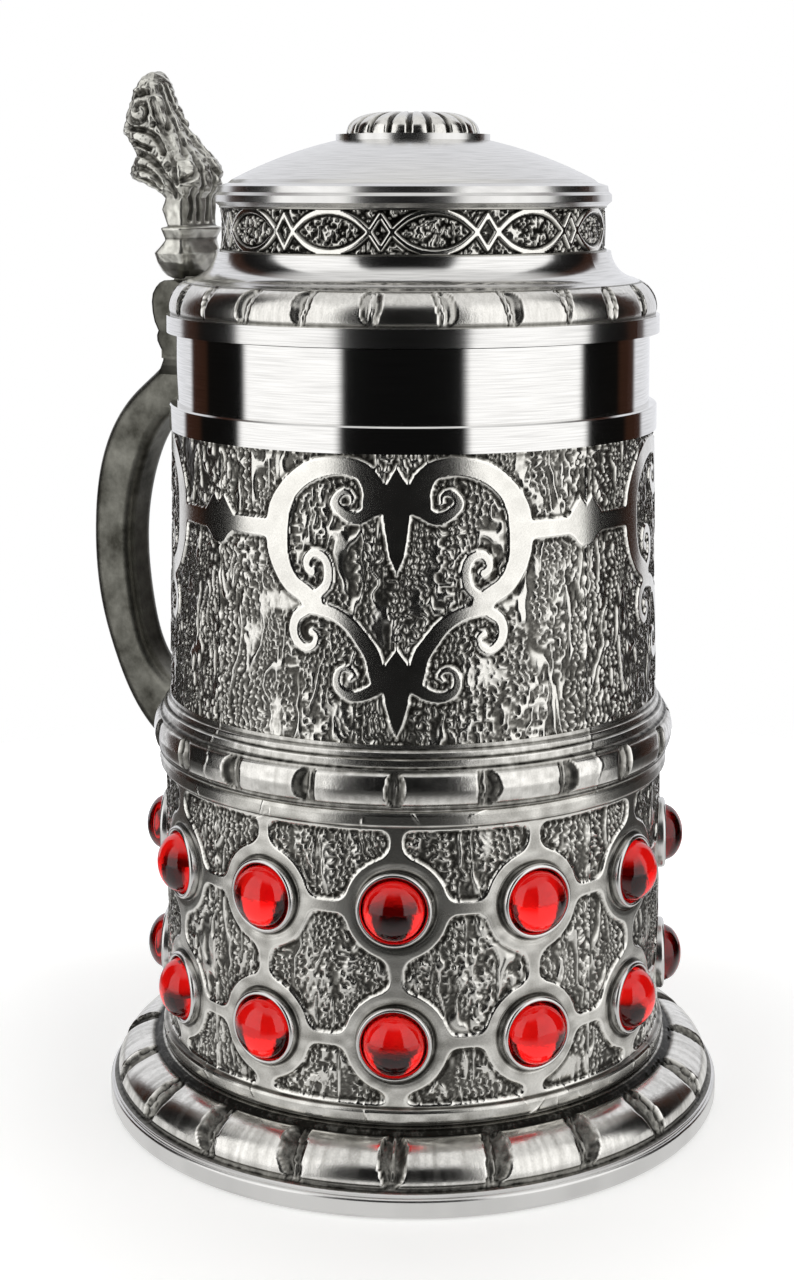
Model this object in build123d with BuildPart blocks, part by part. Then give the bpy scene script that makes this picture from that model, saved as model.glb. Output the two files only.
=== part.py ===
from build123d import *
from math import cos, radians, sin
import os

# Pewter tankard with a hinged lid.
# The body is a stack of cast and turned rings: foot, jewelled drum, lobed band, scrolled drum
# and polished collar. A loop handle carries the hinge, and a leaf-shaped thumb lift raises the lid.
# Frame: +Z up, origin on the cup's axis at the table, the handle towards -X, the hinge along Y.
# All lengths are in millimetres.

os.makedirs("parts", exist_ok=True)

# ---- Driving dimensions -------------------------------------------------------------------
foot_radius = 63.3          # widest line of the foot
foot_top = 12.5             # foot ring meets the jewelled drum
lower_drum_top = 73.0       # jewelled drum meets the lobed band
mid_band_top = 85.0         # lobed band meets the scrolled drum
upper_drum_top = 138.9      # scrolled drum meets the collar
collar_ledge_top = 144.0    # top of the collar's lower ring
rim_height = 158.0          # drinking rim

cup_bore = 46.5             # inside radius from the lobed band up to the rim
lower_bore = 48.0           # inside radius of the jewelled drum
lower_drum_radius = 51.2
upper_drum_radius = 49.2    # at its top
upper_drum_foot = 50.1      # at its foot, so the drum tapers a little
collar_radius = 48.05
ledge_radius = 49.6
band_radius = 53.5          # crest of the lobed band
lobe_count = 20             # lobes round the foot and round the band
lobe_groove = 0.9           # radius of the groove between two lobes

plate_bottom = 7.0
plate_top = 9.5
plate_radius = 50.0
fit_gap = 0.02              # between a soldered or glued piece and its seat

relief_angle = -63.0        # direction of the ornament that faces forward, degrees from +X
column_count = 12           # columns of stones
stone_rows = {"upper": 54.1, "lower": 28.3}
stone_radius = 6.0
stone_rise = 5.0            # how far a stone stands out from the drum
stone_dome = 4.6            # height of its domed part
bezel_radius = 7.05
bezel_proud = 1.2           # how far a setting stands out from the drum
bezel_floor = 0.6
seat_depth = 1.8            # depth of the pocket in the drum

lid_gap = 0.3               # the closed lid stands this far above the rim
flange_radius = 50.0
flange_height = 3.5
lobe_ring_inner = 46.0
lobe_ring_height = 6.7
lid_lobe_count = 24
lid_lobe_angle = -68.5      # direction of the first groove in the lid's ring
frieze_radius = 39.2
frieze_bore = 37.2
frieze_bottom = 174.5
frieze_top = 183.5
crown_radius = 15.6
crown_height = 197.8
rosette_radius = 13.6
rosette_height = 4.6
rosette_flutes = 20

hinge_x = -56.6             # hinge axis, parallel to Y
hinge_z = 162.5
hinge_width = 14.6          # over the two outer knuckles
middle_knuckle = 6.0        # width of the lid's knuckle
knuckle_gap = 0.3           # clearance on each side of it
knuckle_radius = 4.2        # lid's knuckle
outer_knuckle_radius = 4.6
outer_knuckle_shift = 0.4   # its outline sits this much nearer the cup than the pin
pin_radius = 1.5
pin_clearance = 0.05        # running fit in the lid's knuckle
tongue_end = -46.4          # the tongue is let into the lid up to here
tongue_top = 167.4

grip_width = 9.0            # handle's width along Y
grip_round = 2.4            # rounding of its long edges
leaf_width = 17.0           # thumb lift's leaf along Y

lid_bottom = rim_height + lid_gap
flange_top = lid_bottom + flange_height
lobe_ring_top = flange_top + lobe_ring_height
seat_radius = lower_drum_radius - seat_depth


def seat_plane(angle, height):
    """Plane at the bottom of a stone's pocket, its normal pointing away from the cup's axis."""
    turn = radians(angle)
    return Plane(
        origin=(seat_radius * cos(turn), seat_radius * sin(turn), height),
        x_dir=(-sin(turn), cos(turn), 0),
        z_dir=(cos(turn), sin(turn), 0),
    )


def seat_section(angle, height):
    """Plane through a stone's axis: x runs along the drum's face, y points outwards."""
    seat = seat_plane(angle, height)
    return Plane(origin=seat.origin, x_dir=seat.x_dir, z_dir=(0, 0, -1))


column_angles = [relief_angle + 360 / column_count * column for column in range(column_count)]

# ---- Foot ring ----------------------------------------------------------------------------
rim_edge = 0.8
foot_groove_length = 11.0
foot_groove_tilt = -45      # degrees; the grooves lie along the slope of the lobes
lobe_foot = (61.8, 4.8)
lobe_crest = (59.4, 9.4)
lobe_head = (53.6, 12.0)
with BuildPart() as foot_ring:
    with BuildSketch(Plane.XZ):
        with BuildLine():
            Polyline(
                (plate_radius, 0),
                (foot_radius - rim_edge, 0),
                (foot_radius, rim_edge),
                (foot_radius, 3.6),
                (foot_radius - rim_edge, 4.5),
                lobe_foot,
            )
            ThreePointArc(lobe_foot, lobe_crest, lobe_head)
            Polyline(
                lobe_head,
                (52.4, foot_top),
                (lower_bore, foot_top),
                (lower_bore, plate_top),
                (plate_radius, plate_top),
                (plate_radius, 0),
            )
        make_face()
    revolve(axis=Axis.Z)
    with Locations((0, 0, lobe_crest[1])):
        with PolarLocations(lobe_crest[0], lobe_count, start_angle=relief_angle):
            Cylinder(
                lobe_groove,
                foot_groove_length,
                rotation=(0, foot_groove_tilt, 0),
                mode=Mode.SUBTRACT,
            )

foot_ring.part.label = "foot_ring"
export_step(foot_ring.part, "parts/foot_ring.step")

# ---- Base plate ---------------------------------------------------------------------------
with BuildPart() as base_plate:
    with BuildSketch(Plane.XY.offset(plate_bottom)):
        Circle(plate_radius - fit_gap)
    extrude(amount=plate_top - plate_bottom)

base_plate.part.label = "base_plate"
export_step(base_plate.part, "parts/base_plate.step")

# ---- Jewelled drum ------------------------------------------------------------------------
fillet_radius = 52.2        # plain fillets that border the drum at its foot and head
fillet_height = 1.6
with BuildPart() as lower_drum:
    with BuildSketch(Plane.XZ):
        with BuildLine():
            Polyline(
                (lower_bore, foot_top),
                (fillet_radius, foot_top),
                (fillet_radius, foot_top + fillet_height),
                (lower_drum_radius, foot_top + 2 * fillet_height),
                (lower_drum_radius, lower_drum_top - 2 * fillet_height),
                (fillet_radius, lower_drum_top - fillet_height),
                (fillet_radius, lower_drum_top),
                (lower_bore, lower_drum_top),
                close=True,
            )
        make_face()
    revolve(axis=Axis.Z)
    for row_height in stone_rows.values():
        for column_angle in column_angles:
            with Locations(seat_plane(column_angle, row_height)):
                Cylinder(
                    bezel_radius + fit_gap,
                    2 * seat_depth,
                    align=(Align.CENTER, Align.CENTER, Align.MIN),
                    mode=Mode.SUBTRACT,
                )

lower_drum.part.label = "lower_drum"
export_step(lower_drum.part, "parts/lower_drum.step")

# ---- Settings: one node for each row, twelve separate cups in it ---------------------------
bezel_height = seat_depth + bezel_proud
bezel_bevel = 0.5
for row_name, row_height in stone_rows.items():
    with BuildPart() as bezels:
        for column_angle in column_angles:
            with BuildSketch(seat_section(column_angle, row_height)):
                with BuildLine():
                    Polyline(
                        (0, 0),
                        (bezel_radius, 0),
                        (bezel_radius, bezel_height - bezel_bevel),
                        (bezel_radius - bezel_bevel, bezel_height),
                        (stone_radius, bezel_height),
                        (stone_radius, bezel_floor),
                        (0, bezel_floor),
                        close=True,
                    )
                make_face()
            seat = seat_plane(column_angle, row_height)
            revolve(axis=Axis(seat.origin, seat.z_dir))

    bezels.part.label = f"bezels_{row_name}"
    export_step(bezels.part, f"parts/bezels_{row_name}.step")

# ---- Stones: domed glass cabochons with flat backs ----------------------------------------
stone_top = seat_depth + stone_rise
girdle = (stone_radius - fit_gap, stone_top - stone_dome)
dome_radius = (girdle[0] ** 2 + stone_dome ** 2) / (2 * stone_dome)
side_angle = radians(35)     # a point on the dome, this far round from its top
dome_side = (
    dome_radius * sin(side_angle),
    stone_top - dome_radius * (1 - cos(side_angle)),
)
for row_name, row_height in stone_rows.items():
    for number, column_angle in enumerate(column_angles, start=1):
        with BuildPart() as stone:
            with BuildSketch(seat_section(column_angle, row_height)):
                with BuildLine():
                    Polyline((0, stone_top), (0, bezel_floor), (girdle[0], bezel_floor), girdle)
                    ThreePointArc(girdle, dome_side, (0, stone_top))
                make_face()
            seat = seat_plane(column_angle, row_height)
            revolve(axis=Axis(seat.origin, seat.z_dir))

        stone.part.label = f"stone_{row_name}_{number:02d}"
        export_step(stone.part, f"parts/stone_{row_name}_{number:02d}.step")

# ---- Lobed band between the drums ---------------------------------------------------------
band_middle = 77.2           # height of the lobes' crest
band_edge = 52.3
band_step = 0.6              # plain step above the joint with the drum
band_groove_length = 7.0
lobe_start = (band_edge, lower_drum_top + band_step)
lobe_end = (band_edge, 2 * band_middle - lower_drum_top - band_step)
with BuildPart() as mid_band:
    with BuildSketch(Plane.XZ):
        with BuildLine():
            Polyline(
                (cup_bore, lower_drum_top),
                (band_edge, lower_drum_top),
                lobe_start,
            )
            ThreePointArc(lobe_start, (band_radius, band_middle), lobe_end)
            Polyline(
                lobe_end,
                (51.4, 81.4),
                (51.4, 82.6),
                (upper_drum_foot + 0.3, 83.6),
                (upper_drum_foot, mid_band_top),
                (cup_bore, mid_band_top),
                (cup_bore, lower_drum_top),
            )
        make_face()
    revolve(axis=Axis.Z)
    with Locations((0, 0, band_middle)):
        with PolarLocations(band_radius, lobe_count, start_angle=relief_angle):
            Cylinder(lobe_groove, band_groove_length, mode=Mode.SUBTRACT)

mid_band.part.label = "mid_band"
export_step(mid_band.part, "parts/mid_band.step")

# ---- Scrolled drum ------------------------------------------------------------------------
with BuildPart() as upper_drum:
    with BuildSketch(Plane.XZ):
        with BuildLine():
            Polyline(
                (cup_bore, mid_band_top),
                (upper_drum_foot, mid_band_top),
                (upper_drum_radius, upper_drum_top),
                (cup_bore, upper_drum_top),
                close=True,
            )
        make_face()
    revolve(axis=Axis.Z)

upper_drum.part.label = "upper_drum"
export_step(upper_drum.part, "parts/upper_drum.step")

# ---- Polished collar ----------------------------------------------------------------------
ledge_bevel = 0.3
with BuildPart() as rim_collar:
    with BuildSketch(Plane.XZ):
        with BuildLine():
            Polyline(
                (cup_bore, upper_drum_top),
                (ledge_radius, upper_drum_top),
                (ledge_radius, collar_ledge_top - ledge_bevel),
                (ledge_radius - ledge_bevel, collar_ledge_top),
                (collar_radius, collar_ledge_top),
                (collar_radius, rim_height),
                (cup_bore, rim_height),
                close=True,
            )
        make_face()
    revolve(axis=Axis.Z)

rim_collar.part.label = "rim_collar"
export_step(rim_collar.part, "parts/rim_collar.step")

# ---- Handle with its two knuckles ---------------------------------------------------------
grip_outer = [
    (-58.6, 152.0),
    (-61.6, 148.6),
    (-70.0, 141.5),
    (-75.4, 134.6),
    (-78.9, 126.3),
    (-80.9, 112.6),
    (-79.3, 93.8),
    (-75.8, 83.2),
    (-67.9, 69.6),
    (-59.5, 63.4),
    (-50.0, 62.4),
]
grip_inner = [
    (-50.0, 77.0),
    (-57.0, 77.4),
    (-64.4, 82.6),
    (-69.2, 95.5),
    (-70.4, 111.9),
    (-67.6, 125.7),
    (-63.0, 134.5),
    (-57.0, 139.5),
]
neck_foot = 150.5
neck_outer = -58.6
neck_inner = -52.4
boss_top = 156.0            # the handle's web against the collar ends below the rim
boss_depth = -47.0          # drawn into the collar, then trimmed to it
cut_length = 30.0           # longer than anything it cuts through
knuckle_middle = hinge_x + outer_knuckle_shift
with BuildPart() as handle:
    with BuildSketch(Plane.XZ):
        with BuildLine():
            Spline(*grip_outer)
            Line(grip_outer[-1], grip_inner[0])
            Spline(*grip_inner)
            Polyline(
                grip_inner[-1],
                (boss_depth, grip_inner[-1][1]),
                (boss_depth, boss_top),
                (neck_outer, boss_top),
                grip_outer[0],
            )
        make_face()
    extrude(amount=grip_width / 2, both=True)
    long_edges = [
        edge
        for edge in handle.edges().filter_by(GeomType.BSPLINE)
        if abs(abs(edge.center().Y) - grip_width / 2) < 0.01
    ]
    fillet(long_edges, grip_round)
    # Wider hinge block at the top of the neck
    with BuildSketch(Plane.XZ):
        with BuildLine():
            Polyline(
                (neck_outer, neck_foot),
                (neck_outer, neck_foot + 3.0),
                (neck_outer - 0.6, neck_foot + 6.5),
                (knuckle_middle - outer_knuckle_radius, hinge_z),
                (knuckle_middle + outer_knuckle_radius, hinge_z),
                (neck_inner, boss_top),
                (neck_inner, neck_foot),
                close=True,
            )
        make_face()
        with Locations((knuckle_middle, hinge_z)):
            Circle(outer_knuckle_radius)
    extrude(amount=hinge_width / 2, both=True)
    # Gap for the lid's knuckle
    slot_width = middle_knuckle + 2 * knuckle_gap
    slot_bottom = hinge_z - knuckle_radius - knuckle_gap
    with Locations((hinge_x, 0, slot_bottom)):
        Box(
            cut_length,
            slot_width,
            cut_length,
            align=(Align.CENTER, Align.CENTER, Align.MIN),
            mode=Mode.SUBTRACT,
        )
    # Bore for the pin
    with Locations(Plane(origin=(hinge_x, 0, hinge_z), z_dir=(0, 1, 0))):
        Cylinder(pin_radius, 2 * hinge_width, mode=Mode.SUBTRACT)
    # The ends are shaped to the body that they are soldered to
    for bottom, top, radius in [
        (0, lower_drum_top - 2 * fillet_height, lower_drum_radius),
        (lower_drum_top - 2 * fillet_height, lower_drum_top, fillet_radius),
        (lower_drum_top, mid_band_top, band_radius),
        (mid_band_top, upper_drum_top, upper_drum_foot),
        (upper_drum_top, collar_ledge_top, ledge_radius),
        (collar_ledge_top, rim_height, collar_radius),
    ]:
        with Locations((0, 0, bottom)):
            Cylinder(
                radius + fit_gap,
                top - bottom,
                align=(Align.CENTER, Align.CENTER, Align.MIN),
                mode=Mode.SUBTRACT,
            )

handle.part.label = "handle"
export_step(handle.part, "parts/handle.step")

# ---- Hinge pin ----------------------------------------------------------------------------
with BuildPart() as hinge_pin:
    with BuildSketch(Plane(origin=(hinge_x, -hinge_width / 2, hinge_z), z_dir=(0, 1, 0))):
        Circle(pin_radius)
    extrude(amount=hinge_width)

hinge_pin.part.label = "hinge_pin"
export_step(hinge_pin.part, "parts/hinge_pin.step")

# ---- Lid: flange and hollow shoulder ------------------------------------------------------
shoulder_wall = 2.0
cove_foot = (45.2, lobe_ring_top + 0.4)
cove_head = (40.1, frieze_bottom)
with BuildPart() as lid_base:
    with BuildSketch(Plane.XZ):
        with BuildLine():
            Polyline(
                (lobe_ring_inner - shoulder_wall, lid_bottom),
                (flange_radius, lid_bottom),
                (flange_radius, flange_top),
                (lobe_ring_inner, flange_top),
                (lobe_ring_inner, lobe_ring_top),
                cove_foot,
            )
            ThreePointArc(cove_foot, (41.4, 171.2), cove_head)
            Polyline(
                cove_head,
                (frieze_bore, frieze_bottom),
                (frieze_bore, frieze_bottom - shoulder_wall),
                (lobe_ring_inner - shoulder_wall, lobe_ring_top - shoulder_wall),
                (lobe_ring_inner - shoulder_wall, lid_bottom),
            )
        make_face()
    revolve(axis=Axis.Z)

lid_base.part.label = "lid_base"
export_step(lid_base.part, "parts/lid_base.step")

# ---- Lid: ring of lobes, with a notch for the thumb lift's tongue --------------------------
ring_foot = (49.4, flange_top)
ring_crest = (48.9, 165.6)
ring_head = (46.2, lobe_ring_top)
ring_groove = 0.7
ring_groove_length = 9.0
ring_groove_tilt = -28       # degrees, along the lobes' slope
with BuildPart() as lid_lobe_ring:
    with BuildSketch(Plane.XZ):
        with BuildLine():
            Polyline(
                ring_head,
                (lobe_ring_inner + fit_gap, lobe_ring_top),
                (lobe_ring_inner + fit_gap, flange_top),
                ring_foot,
            )
            ThreePointArc(ring_foot, ring_crest, ring_head)
        make_face()
    revolve(axis=Axis.Z)
    with Locations((0, 0, ring_crest[1])):
        with PolarLocations(ring_crest[0], lid_lobe_count, start_angle=lid_lobe_angle):
            Cylinder(
                ring_groove,
                ring_groove_length,
                rotation=(0, ring_groove_tilt, 0),
                mode=Mode.SUBTRACT,
            )
    with Locations((-flange_radius, 0, flange_top)):
        Box(
            2 * (flange_radius - lobe_ring_inner + 1),
            middle_knuckle,
            lobe_ring_height + 1,
            align=(Align.CENTER, Align.CENTER, Align.MIN),
            mode=Mode.SUBTRACT,
        )

lid_lobe_ring.part.label = "lid_lobe_ring"
export_step(lid_lobe_ring.part, "parts/lid_lobe_ring.step")

# ---- Lid: frieze band ---------------------------------------------------------------------
with BuildPart() as lid_frieze:
    with BuildSketch(Plane.XY.offset(frieze_bottom)):
        Circle(frieze_radius)
        Circle(frieze_bore, mode=Mode.SUBTRACT)
    extrude(amount=frieze_top - frieze_bottom)

lid_frieze.part.label = "lid_frieze"
export_step(lid_frieze.part, "parts/lid_frieze.step")

# ---- Lid: moulding and dome ---------------------------------------------------------------
dome_wall = 1.6
dome_foot = (36.6, 188.8)
dome_middle = (26.3, 193.4)
dome_head = (crown_radius, 196.6)
lining_head = (crown_radius, dome_head[1] - 1.2 * dome_wall)
lining_middle = (dome_middle[0], dome_middle[1] - dome_wall)
lining_foot = (frieze_bore - dome_wall, frieze_top + 4.0)
with BuildPart() as lid_dome:
    with BuildSketch(Plane.XZ):
        with BuildLine():
            Polyline(
                (frieze_bore, frieze_top),
                (frieze_radius, frieze_top),
                (40.2, frieze_top + 0.9),
                (40.2, frieze_top + 2.2),
                (39.6, frieze_top + 2.8),
                (39.4, frieze_top + 4.0),
                (37.4, frieze_top + 4.6),
                dome_foot,
            )
            ThreePointArc(dome_foot, dome_middle, dome_head)
            Polyline(
                dome_head,
                (crown_radius, crown_height),
                (0, crown_height),
                (0, crown_height - 2 * dome_wall),
                lining_head,
            )
            ThreePointArc(lining_head, lining_middle, lining_foot)
            Polyline(
                lining_foot,
                (frieze_bore - dome_wall, frieze_top),
                (frieze_bore, frieze_top),
            )
        make_face()
    revolve(axis=Axis.Z)

lid_dome.part.label = "lid_dome"
export_step(lid_dome.part, "parts/lid_dome.step")

# ---- Lid: fluted rosette ------------------------------------------------------------------
rosette_top = crown_height + rosette_height
rosette_rim = (rosette_radius, crown_height + 0.8)
rosette_side = (10.2, crown_height + 3.6)
rosette_flat = (4.6, rosette_top)
flute_radius = 0.6
flute_length = 12.0
flute_tilt = -68             # degrees, along the petals' slope
with BuildPart() as lid_rosette:
    with BuildSketch(Plane.XZ):
        with BuildLine():
            Polyline(
                rosette_flat,
                (0, rosette_top),
                (0, crown_height),
                (rosette_radius, crown_height),
                rosette_rim,
            )
            ThreePointArc(rosette_rim, rosette_side, rosette_flat)
        make_face()
    revolve(axis=Axis.Z)
    with Locations((0, 0, rosette_side[1] + flute_radius / 2)):
        with PolarLocations(rosette_side[0] + flute_radius, rosette_flutes, start_angle=relief_angle):
            Cylinder(
                flute_radius,
                flute_length,
                rotation=(0, flute_tilt, 0),
                mode=Mode.SUBTRACT,
            )

lid_rosette.part.label = "lid_rosette"
export_step(lid_rosette.part, "parts/lid_rosette.step")

# ---- Thumb lift: leaf, neck, middle knuckle and tongue in one casting ----------------------
block_bottom = 168.0        # clears the outer knuckles as the lid turns
neck_profile = [
    (-57.9, block_bottom),
    (-60.5, 173.2),
    (-57.8, 175.9),
    (-58.6, 176.4),
    (-58.6, 178.7),
    (-57.5, 179.6),
    (-58.5, 182.0),
    (-57.8, 185.5),
    (-52.6, 185.5),
    (-52.6, block_bottom),
]
leaf_back = [
    (-57.8, 185.0),
    (-62.7, 187.3),
    (-68.1, 190.0),
    (-67.0, 195.0),
    (-70.8, 199.5),
    (-69.3, 205.0),
    (-67.0, 210.4),
    (-64.4, 212.2),
]
leaf_front = [
    (-64.4, 212.2),
    (-62.6, 209.0),
    (-60.0, 203.0),
    (-55.8, 196.6),
    (-51.2, 191.8),
    (-52.6, 185.0),
]
with BuildPart() as thumb_lift:
    with BuildSketch(Plane.XZ):
        with BuildLine():
            Polyline(*neck_profile, close=True)
        make_face()
    extrude(amount=hinge_width / 2, both=True)
    with BuildSketch(Plane.XZ):
        with BuildLine():
            Polyline(*leaf_back)
            Polyline(*leaf_front)
            Line(leaf_front[-1], leaf_back[0])
        make_face()
    extrude(amount=leaf_width / 2, both=True)
    # Middle knuckle, its web up to the neck and the tongue down to the lid
    with BuildSketch(Plane.XZ):
        with Locations((hinge_x, hinge_z)):
            Circle(knuckle_radius)
        with BuildLine():
            Polyline(
                (hinge_x - knuckle_radius + 0.6, hinge_z + 1.0),
                (-57.9, block_bottom),
                (-52.6, block_bottom),
                (-50.0, tongue_top),
                (tongue_end, tongue_top),
                (tongue_end, flange_top),
                (hinge_x, flange_top),
                close=True,
            )
        make_face()
    extrude(amount=middle_knuckle / 2, both=True)
    with Locations(Plane(origin=(hinge_x, 0, hinge_z), z_dir=(0, 1, 0))):
        Cylinder(pin_radius + pin_clearance, 2 * hinge_width, mode=Mode.SUBTRACT)

thumb_lift.part.label = "thumb_lift"
export_step(thumb_lift.part, "parts/thumb_lift.step")
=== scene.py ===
# %% [markdown]
# # A lidded pewter tankard with red glass stones
# The real object is a stack of pewter castings and turned rings: a spreading foot, a lower drum with two rows
# of glass stones, a gadrooned band, an upper drum with scroll straps on a bark ground, a bright turned
# collar, and a hinged lid with a thumb lift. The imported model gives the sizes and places, and the outlines
# here repeat them in millimetres. This lesson adds the cast relief and the finishes, piece by piece.
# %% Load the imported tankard
import math

import bmesh
import bpy
import numpy as np
from mathutils import Matrix, Vector


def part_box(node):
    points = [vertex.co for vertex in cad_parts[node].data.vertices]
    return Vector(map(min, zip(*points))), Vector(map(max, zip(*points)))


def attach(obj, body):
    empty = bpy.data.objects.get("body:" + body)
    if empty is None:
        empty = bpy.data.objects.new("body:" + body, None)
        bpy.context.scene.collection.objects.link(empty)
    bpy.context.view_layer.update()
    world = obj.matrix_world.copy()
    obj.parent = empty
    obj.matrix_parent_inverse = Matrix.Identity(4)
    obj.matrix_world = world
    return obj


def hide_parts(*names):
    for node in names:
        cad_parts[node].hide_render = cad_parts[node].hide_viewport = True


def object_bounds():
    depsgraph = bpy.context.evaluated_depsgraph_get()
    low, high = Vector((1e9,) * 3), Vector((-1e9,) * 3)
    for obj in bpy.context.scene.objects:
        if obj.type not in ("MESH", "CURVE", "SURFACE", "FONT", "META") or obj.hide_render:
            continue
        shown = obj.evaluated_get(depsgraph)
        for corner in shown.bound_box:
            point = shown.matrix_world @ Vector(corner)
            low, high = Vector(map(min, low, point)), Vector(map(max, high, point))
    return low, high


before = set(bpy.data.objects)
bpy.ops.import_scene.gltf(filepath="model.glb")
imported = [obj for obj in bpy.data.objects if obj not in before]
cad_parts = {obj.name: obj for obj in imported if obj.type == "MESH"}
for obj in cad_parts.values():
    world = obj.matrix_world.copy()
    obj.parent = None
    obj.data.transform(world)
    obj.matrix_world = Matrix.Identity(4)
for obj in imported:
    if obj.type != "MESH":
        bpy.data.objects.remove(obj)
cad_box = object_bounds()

scene = bpy.context.scene
MM = 0.001

# %% [markdown]
# ## The camera
# The tankard is seen from a little above the collar, turned so that the handle stands at the left. A long
# lens keeps the drum's sides nearly upright. The camera's place is given by its turn about the tankard's
# axis, its height and its distance, because those are easy to read and to change.
# %% Camera
CAMERA_TURN = math.radians(30.5)
CAMERA_DISTANCE = 0.4321
CAMERA_HEIGHT = 0.18857
CAMERA_DIP = math.radians(6.0)

camera_data = bpy.data.cameras.new("studio_camera")
camera_data.lens = 59.63
camera_data.shift_x = -0.0125
camera_data.shift_y = -0.185
camera_data.clip_start = 0.01
camera = bpy.data.objects.new("studio_camera", camera_data)
camera.location = (
    math.sin(CAMERA_TURN) * CAMERA_DISTANCE,
    -math.cos(CAMERA_TURN) * CAMERA_DISTANCE,
    CAMERA_HEIGHT,
)
camera.rotation_euler = (math.pi / 2 - CAMERA_DIP, 0.0, CAMERA_TURN)
scene.collection.objects.link(camera)
scene.camera = camera
scene.view_settings.view_transform = "Standard"
print("camera at", [round(c, 3) for c in camera.location])

# %% [markdown]
# ## Colours, nodes and materials
# Shaders work with linear light, and people choose colours as sRGB hex, so one function turns one into the
# other. Another adds a node, sets its properties and fills or links its inputs. Every finish in this lesson
# is written with it, on a new material that hands out the object's own coordinates.
# %% Helpers for colours, nodes and materials
def linear(hex_colour):
    """An sRGB hex colour as linear red, green, blue and alpha."""
    shares = [int(hex_colour[i:i + 2], 16) / 255 for i in (1, 3, 5)]
    return (*[s / 12.92 if s <= 0.04045 else ((s + 0.055) / 1.055) ** 2.4 for s in shares], 1.0)


def fill(made, inputs):
    """Gives a node's inputs values, or links them to outputs; a node given stands for its first output."""
    for name, value in inputs.items():
        if isinstance(value, bpy.types.Node):
            value = value.outputs[0]
        if isinstance(value, bpy.types.NodeSocket):
            made.id_data.links.new(value, made.inputs[name])
        else:
            made.inputs[name].default_value = value


def node_adder(tree):
    """The function that adds a node to a tree: its kind, its inputs' values or links, its properties."""
    def add(kind, inputs=None, **settings):
        made = tree.nodes.new("ShaderNode" + kind)
        for name, value in settings.items():
            setattr(made, name, value)
        fill(made, inputs or {})
        return made
    return add


def set_stops(ramp, stops):
    """Gives a colour ramp its stops, each a place from 0 to 1 and a colour."""
    elements = ramp.color_ramp.elements
    elements[0].position, elements[0].color = stops[0]
    elements[-1].position, elements[-1].color = stops[-1]
    for place, colour in stops[1:-1]:
        elements.new(place).color = colour


def new_material(name, values):
    """A material with plain shader values, its node adder, its shader and its Object coordinates."""
    material = bpy.data.materials.new(name)
    material.use_nodes = True
    add = node_adder(material.node_tree)
    shader = material.node_tree.nodes["Principled BSDF"]
    fill(shader, values)
    return material, add, shader, add("TexCoord").outputs["Object"]


print("mid grey is", round(linear("#808080")[0], 3), "in linear light")

# %% [markdown]
# ## Studio light
# Polished pewter shows its surroundings, so a studio gives it something plain to show: white soft boxes left
# and right, dark card between them behind the camera, and white paper behind the object. Here the world
# itself holds these panels: the direction that a ray leaves in is turned into an angle about the tankard,
# and a colour ramp says how bright that angle is. The far ends of the two dark cards catch a little warm
# brown from the room. A soft box overhead lights the lid.
# %% Panels by angle
PANEL_EDGES_DEG = [
    (-133, "#d6d7db", "#35211a"), (-116, "#2e1d15", "#0d0c0b"), (-87, "#0a0a0a", "#ffffff"),
    (-34, "#ffffff", "#0c0c0c"), (25, "#0c0c0c", "#ffffff"), (87, "#ffffff", "#0a0a0a"),
    (116, "#0d0c0b", "#2e1d15"), (133, "#35211a", "#d6d7db"),
]
EDGE_SOFTNESS_DEG = 1.8


def panel_light(add, direction):
    """The colour of the studio panels in a direction from the tankard."""
    split = add("SeparateXYZ", {"Vector": direction})
    across = add("Math", {0: split.outputs["Y"], 1: split.outputs["X"]}, operation="ARCTAN2")
    turned = add("Math", {0: across, 1: CAMERA_TURN - math.pi / 2}, operation="SUBTRACT")
    wrapped = add("Math", {0: turned, 1: math.pi, 2: -math.pi}, operation="WRAP")
    share = add("MapRange", {"Value": wrapped, "From Min": -math.pi, "From Max": math.pi})
    panels = add("ValToRGB", {"Fac": share})
    stops = []
    for edge, before, after in PANEL_EDGES_DEG:
        stops.append(((edge - EDGE_SOFTNESS_DEG) / 360 + 0.5, linear(before)))
        stops.append(((edge + EDGE_SOFTNESS_DEG) / 360 + 0.5, linear(after)))
    set_stops(panels, stops)
    return panels


print("panel edges at", [edge for edge, _, _ in PANEL_EDGES_DEG], "degrees from the camera")

# %% World with soft boxes
SOFT_BOX_LIGHT = 1.35
CEILING_START, CEILING_FULL = 0.64, 0.9
WHITE = linear("#ffffff")

world = bpy.data.worlds.new("studio")
scene.world = world
world.use_nodes = True
world.node_tree.nodes.clear()
add = node_adder(world.node_tree)
direction = add("TexCoord").outputs["Generated"]
up = add("SeparateXYZ", {"Vector": direction}).outputs["Z"]
overhead = {"Value": up, "From Min": CEILING_START, "From Max": CEILING_FULL}
overhead = add("MapRange", overhead, interpolation_type="SMOOTHSTEP")
room = {0: overhead, 6: panel_light(add, direction), 7: linear("#d8d8d8")}
room = add("Mix", room, data_type="RGBA").outputs[2]
seen = add("LightPath").outputs["Is Camera Ray"]
backdrop = add("Mix", {0: seen, 6: room, 7: WHITE}, data_type="RGBA").outputs[2]
strength = add("MapRange", {"Value": seen, "To Min": SOFT_BOX_LIGHT, "To Max": 1.0})
background = add("Background", {"Color": backdrop, "Strength": strength})
add("OutputWorld", {"Surface": background})
print("soft boxes at strength", SOFT_BOX_LIGHT)

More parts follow.
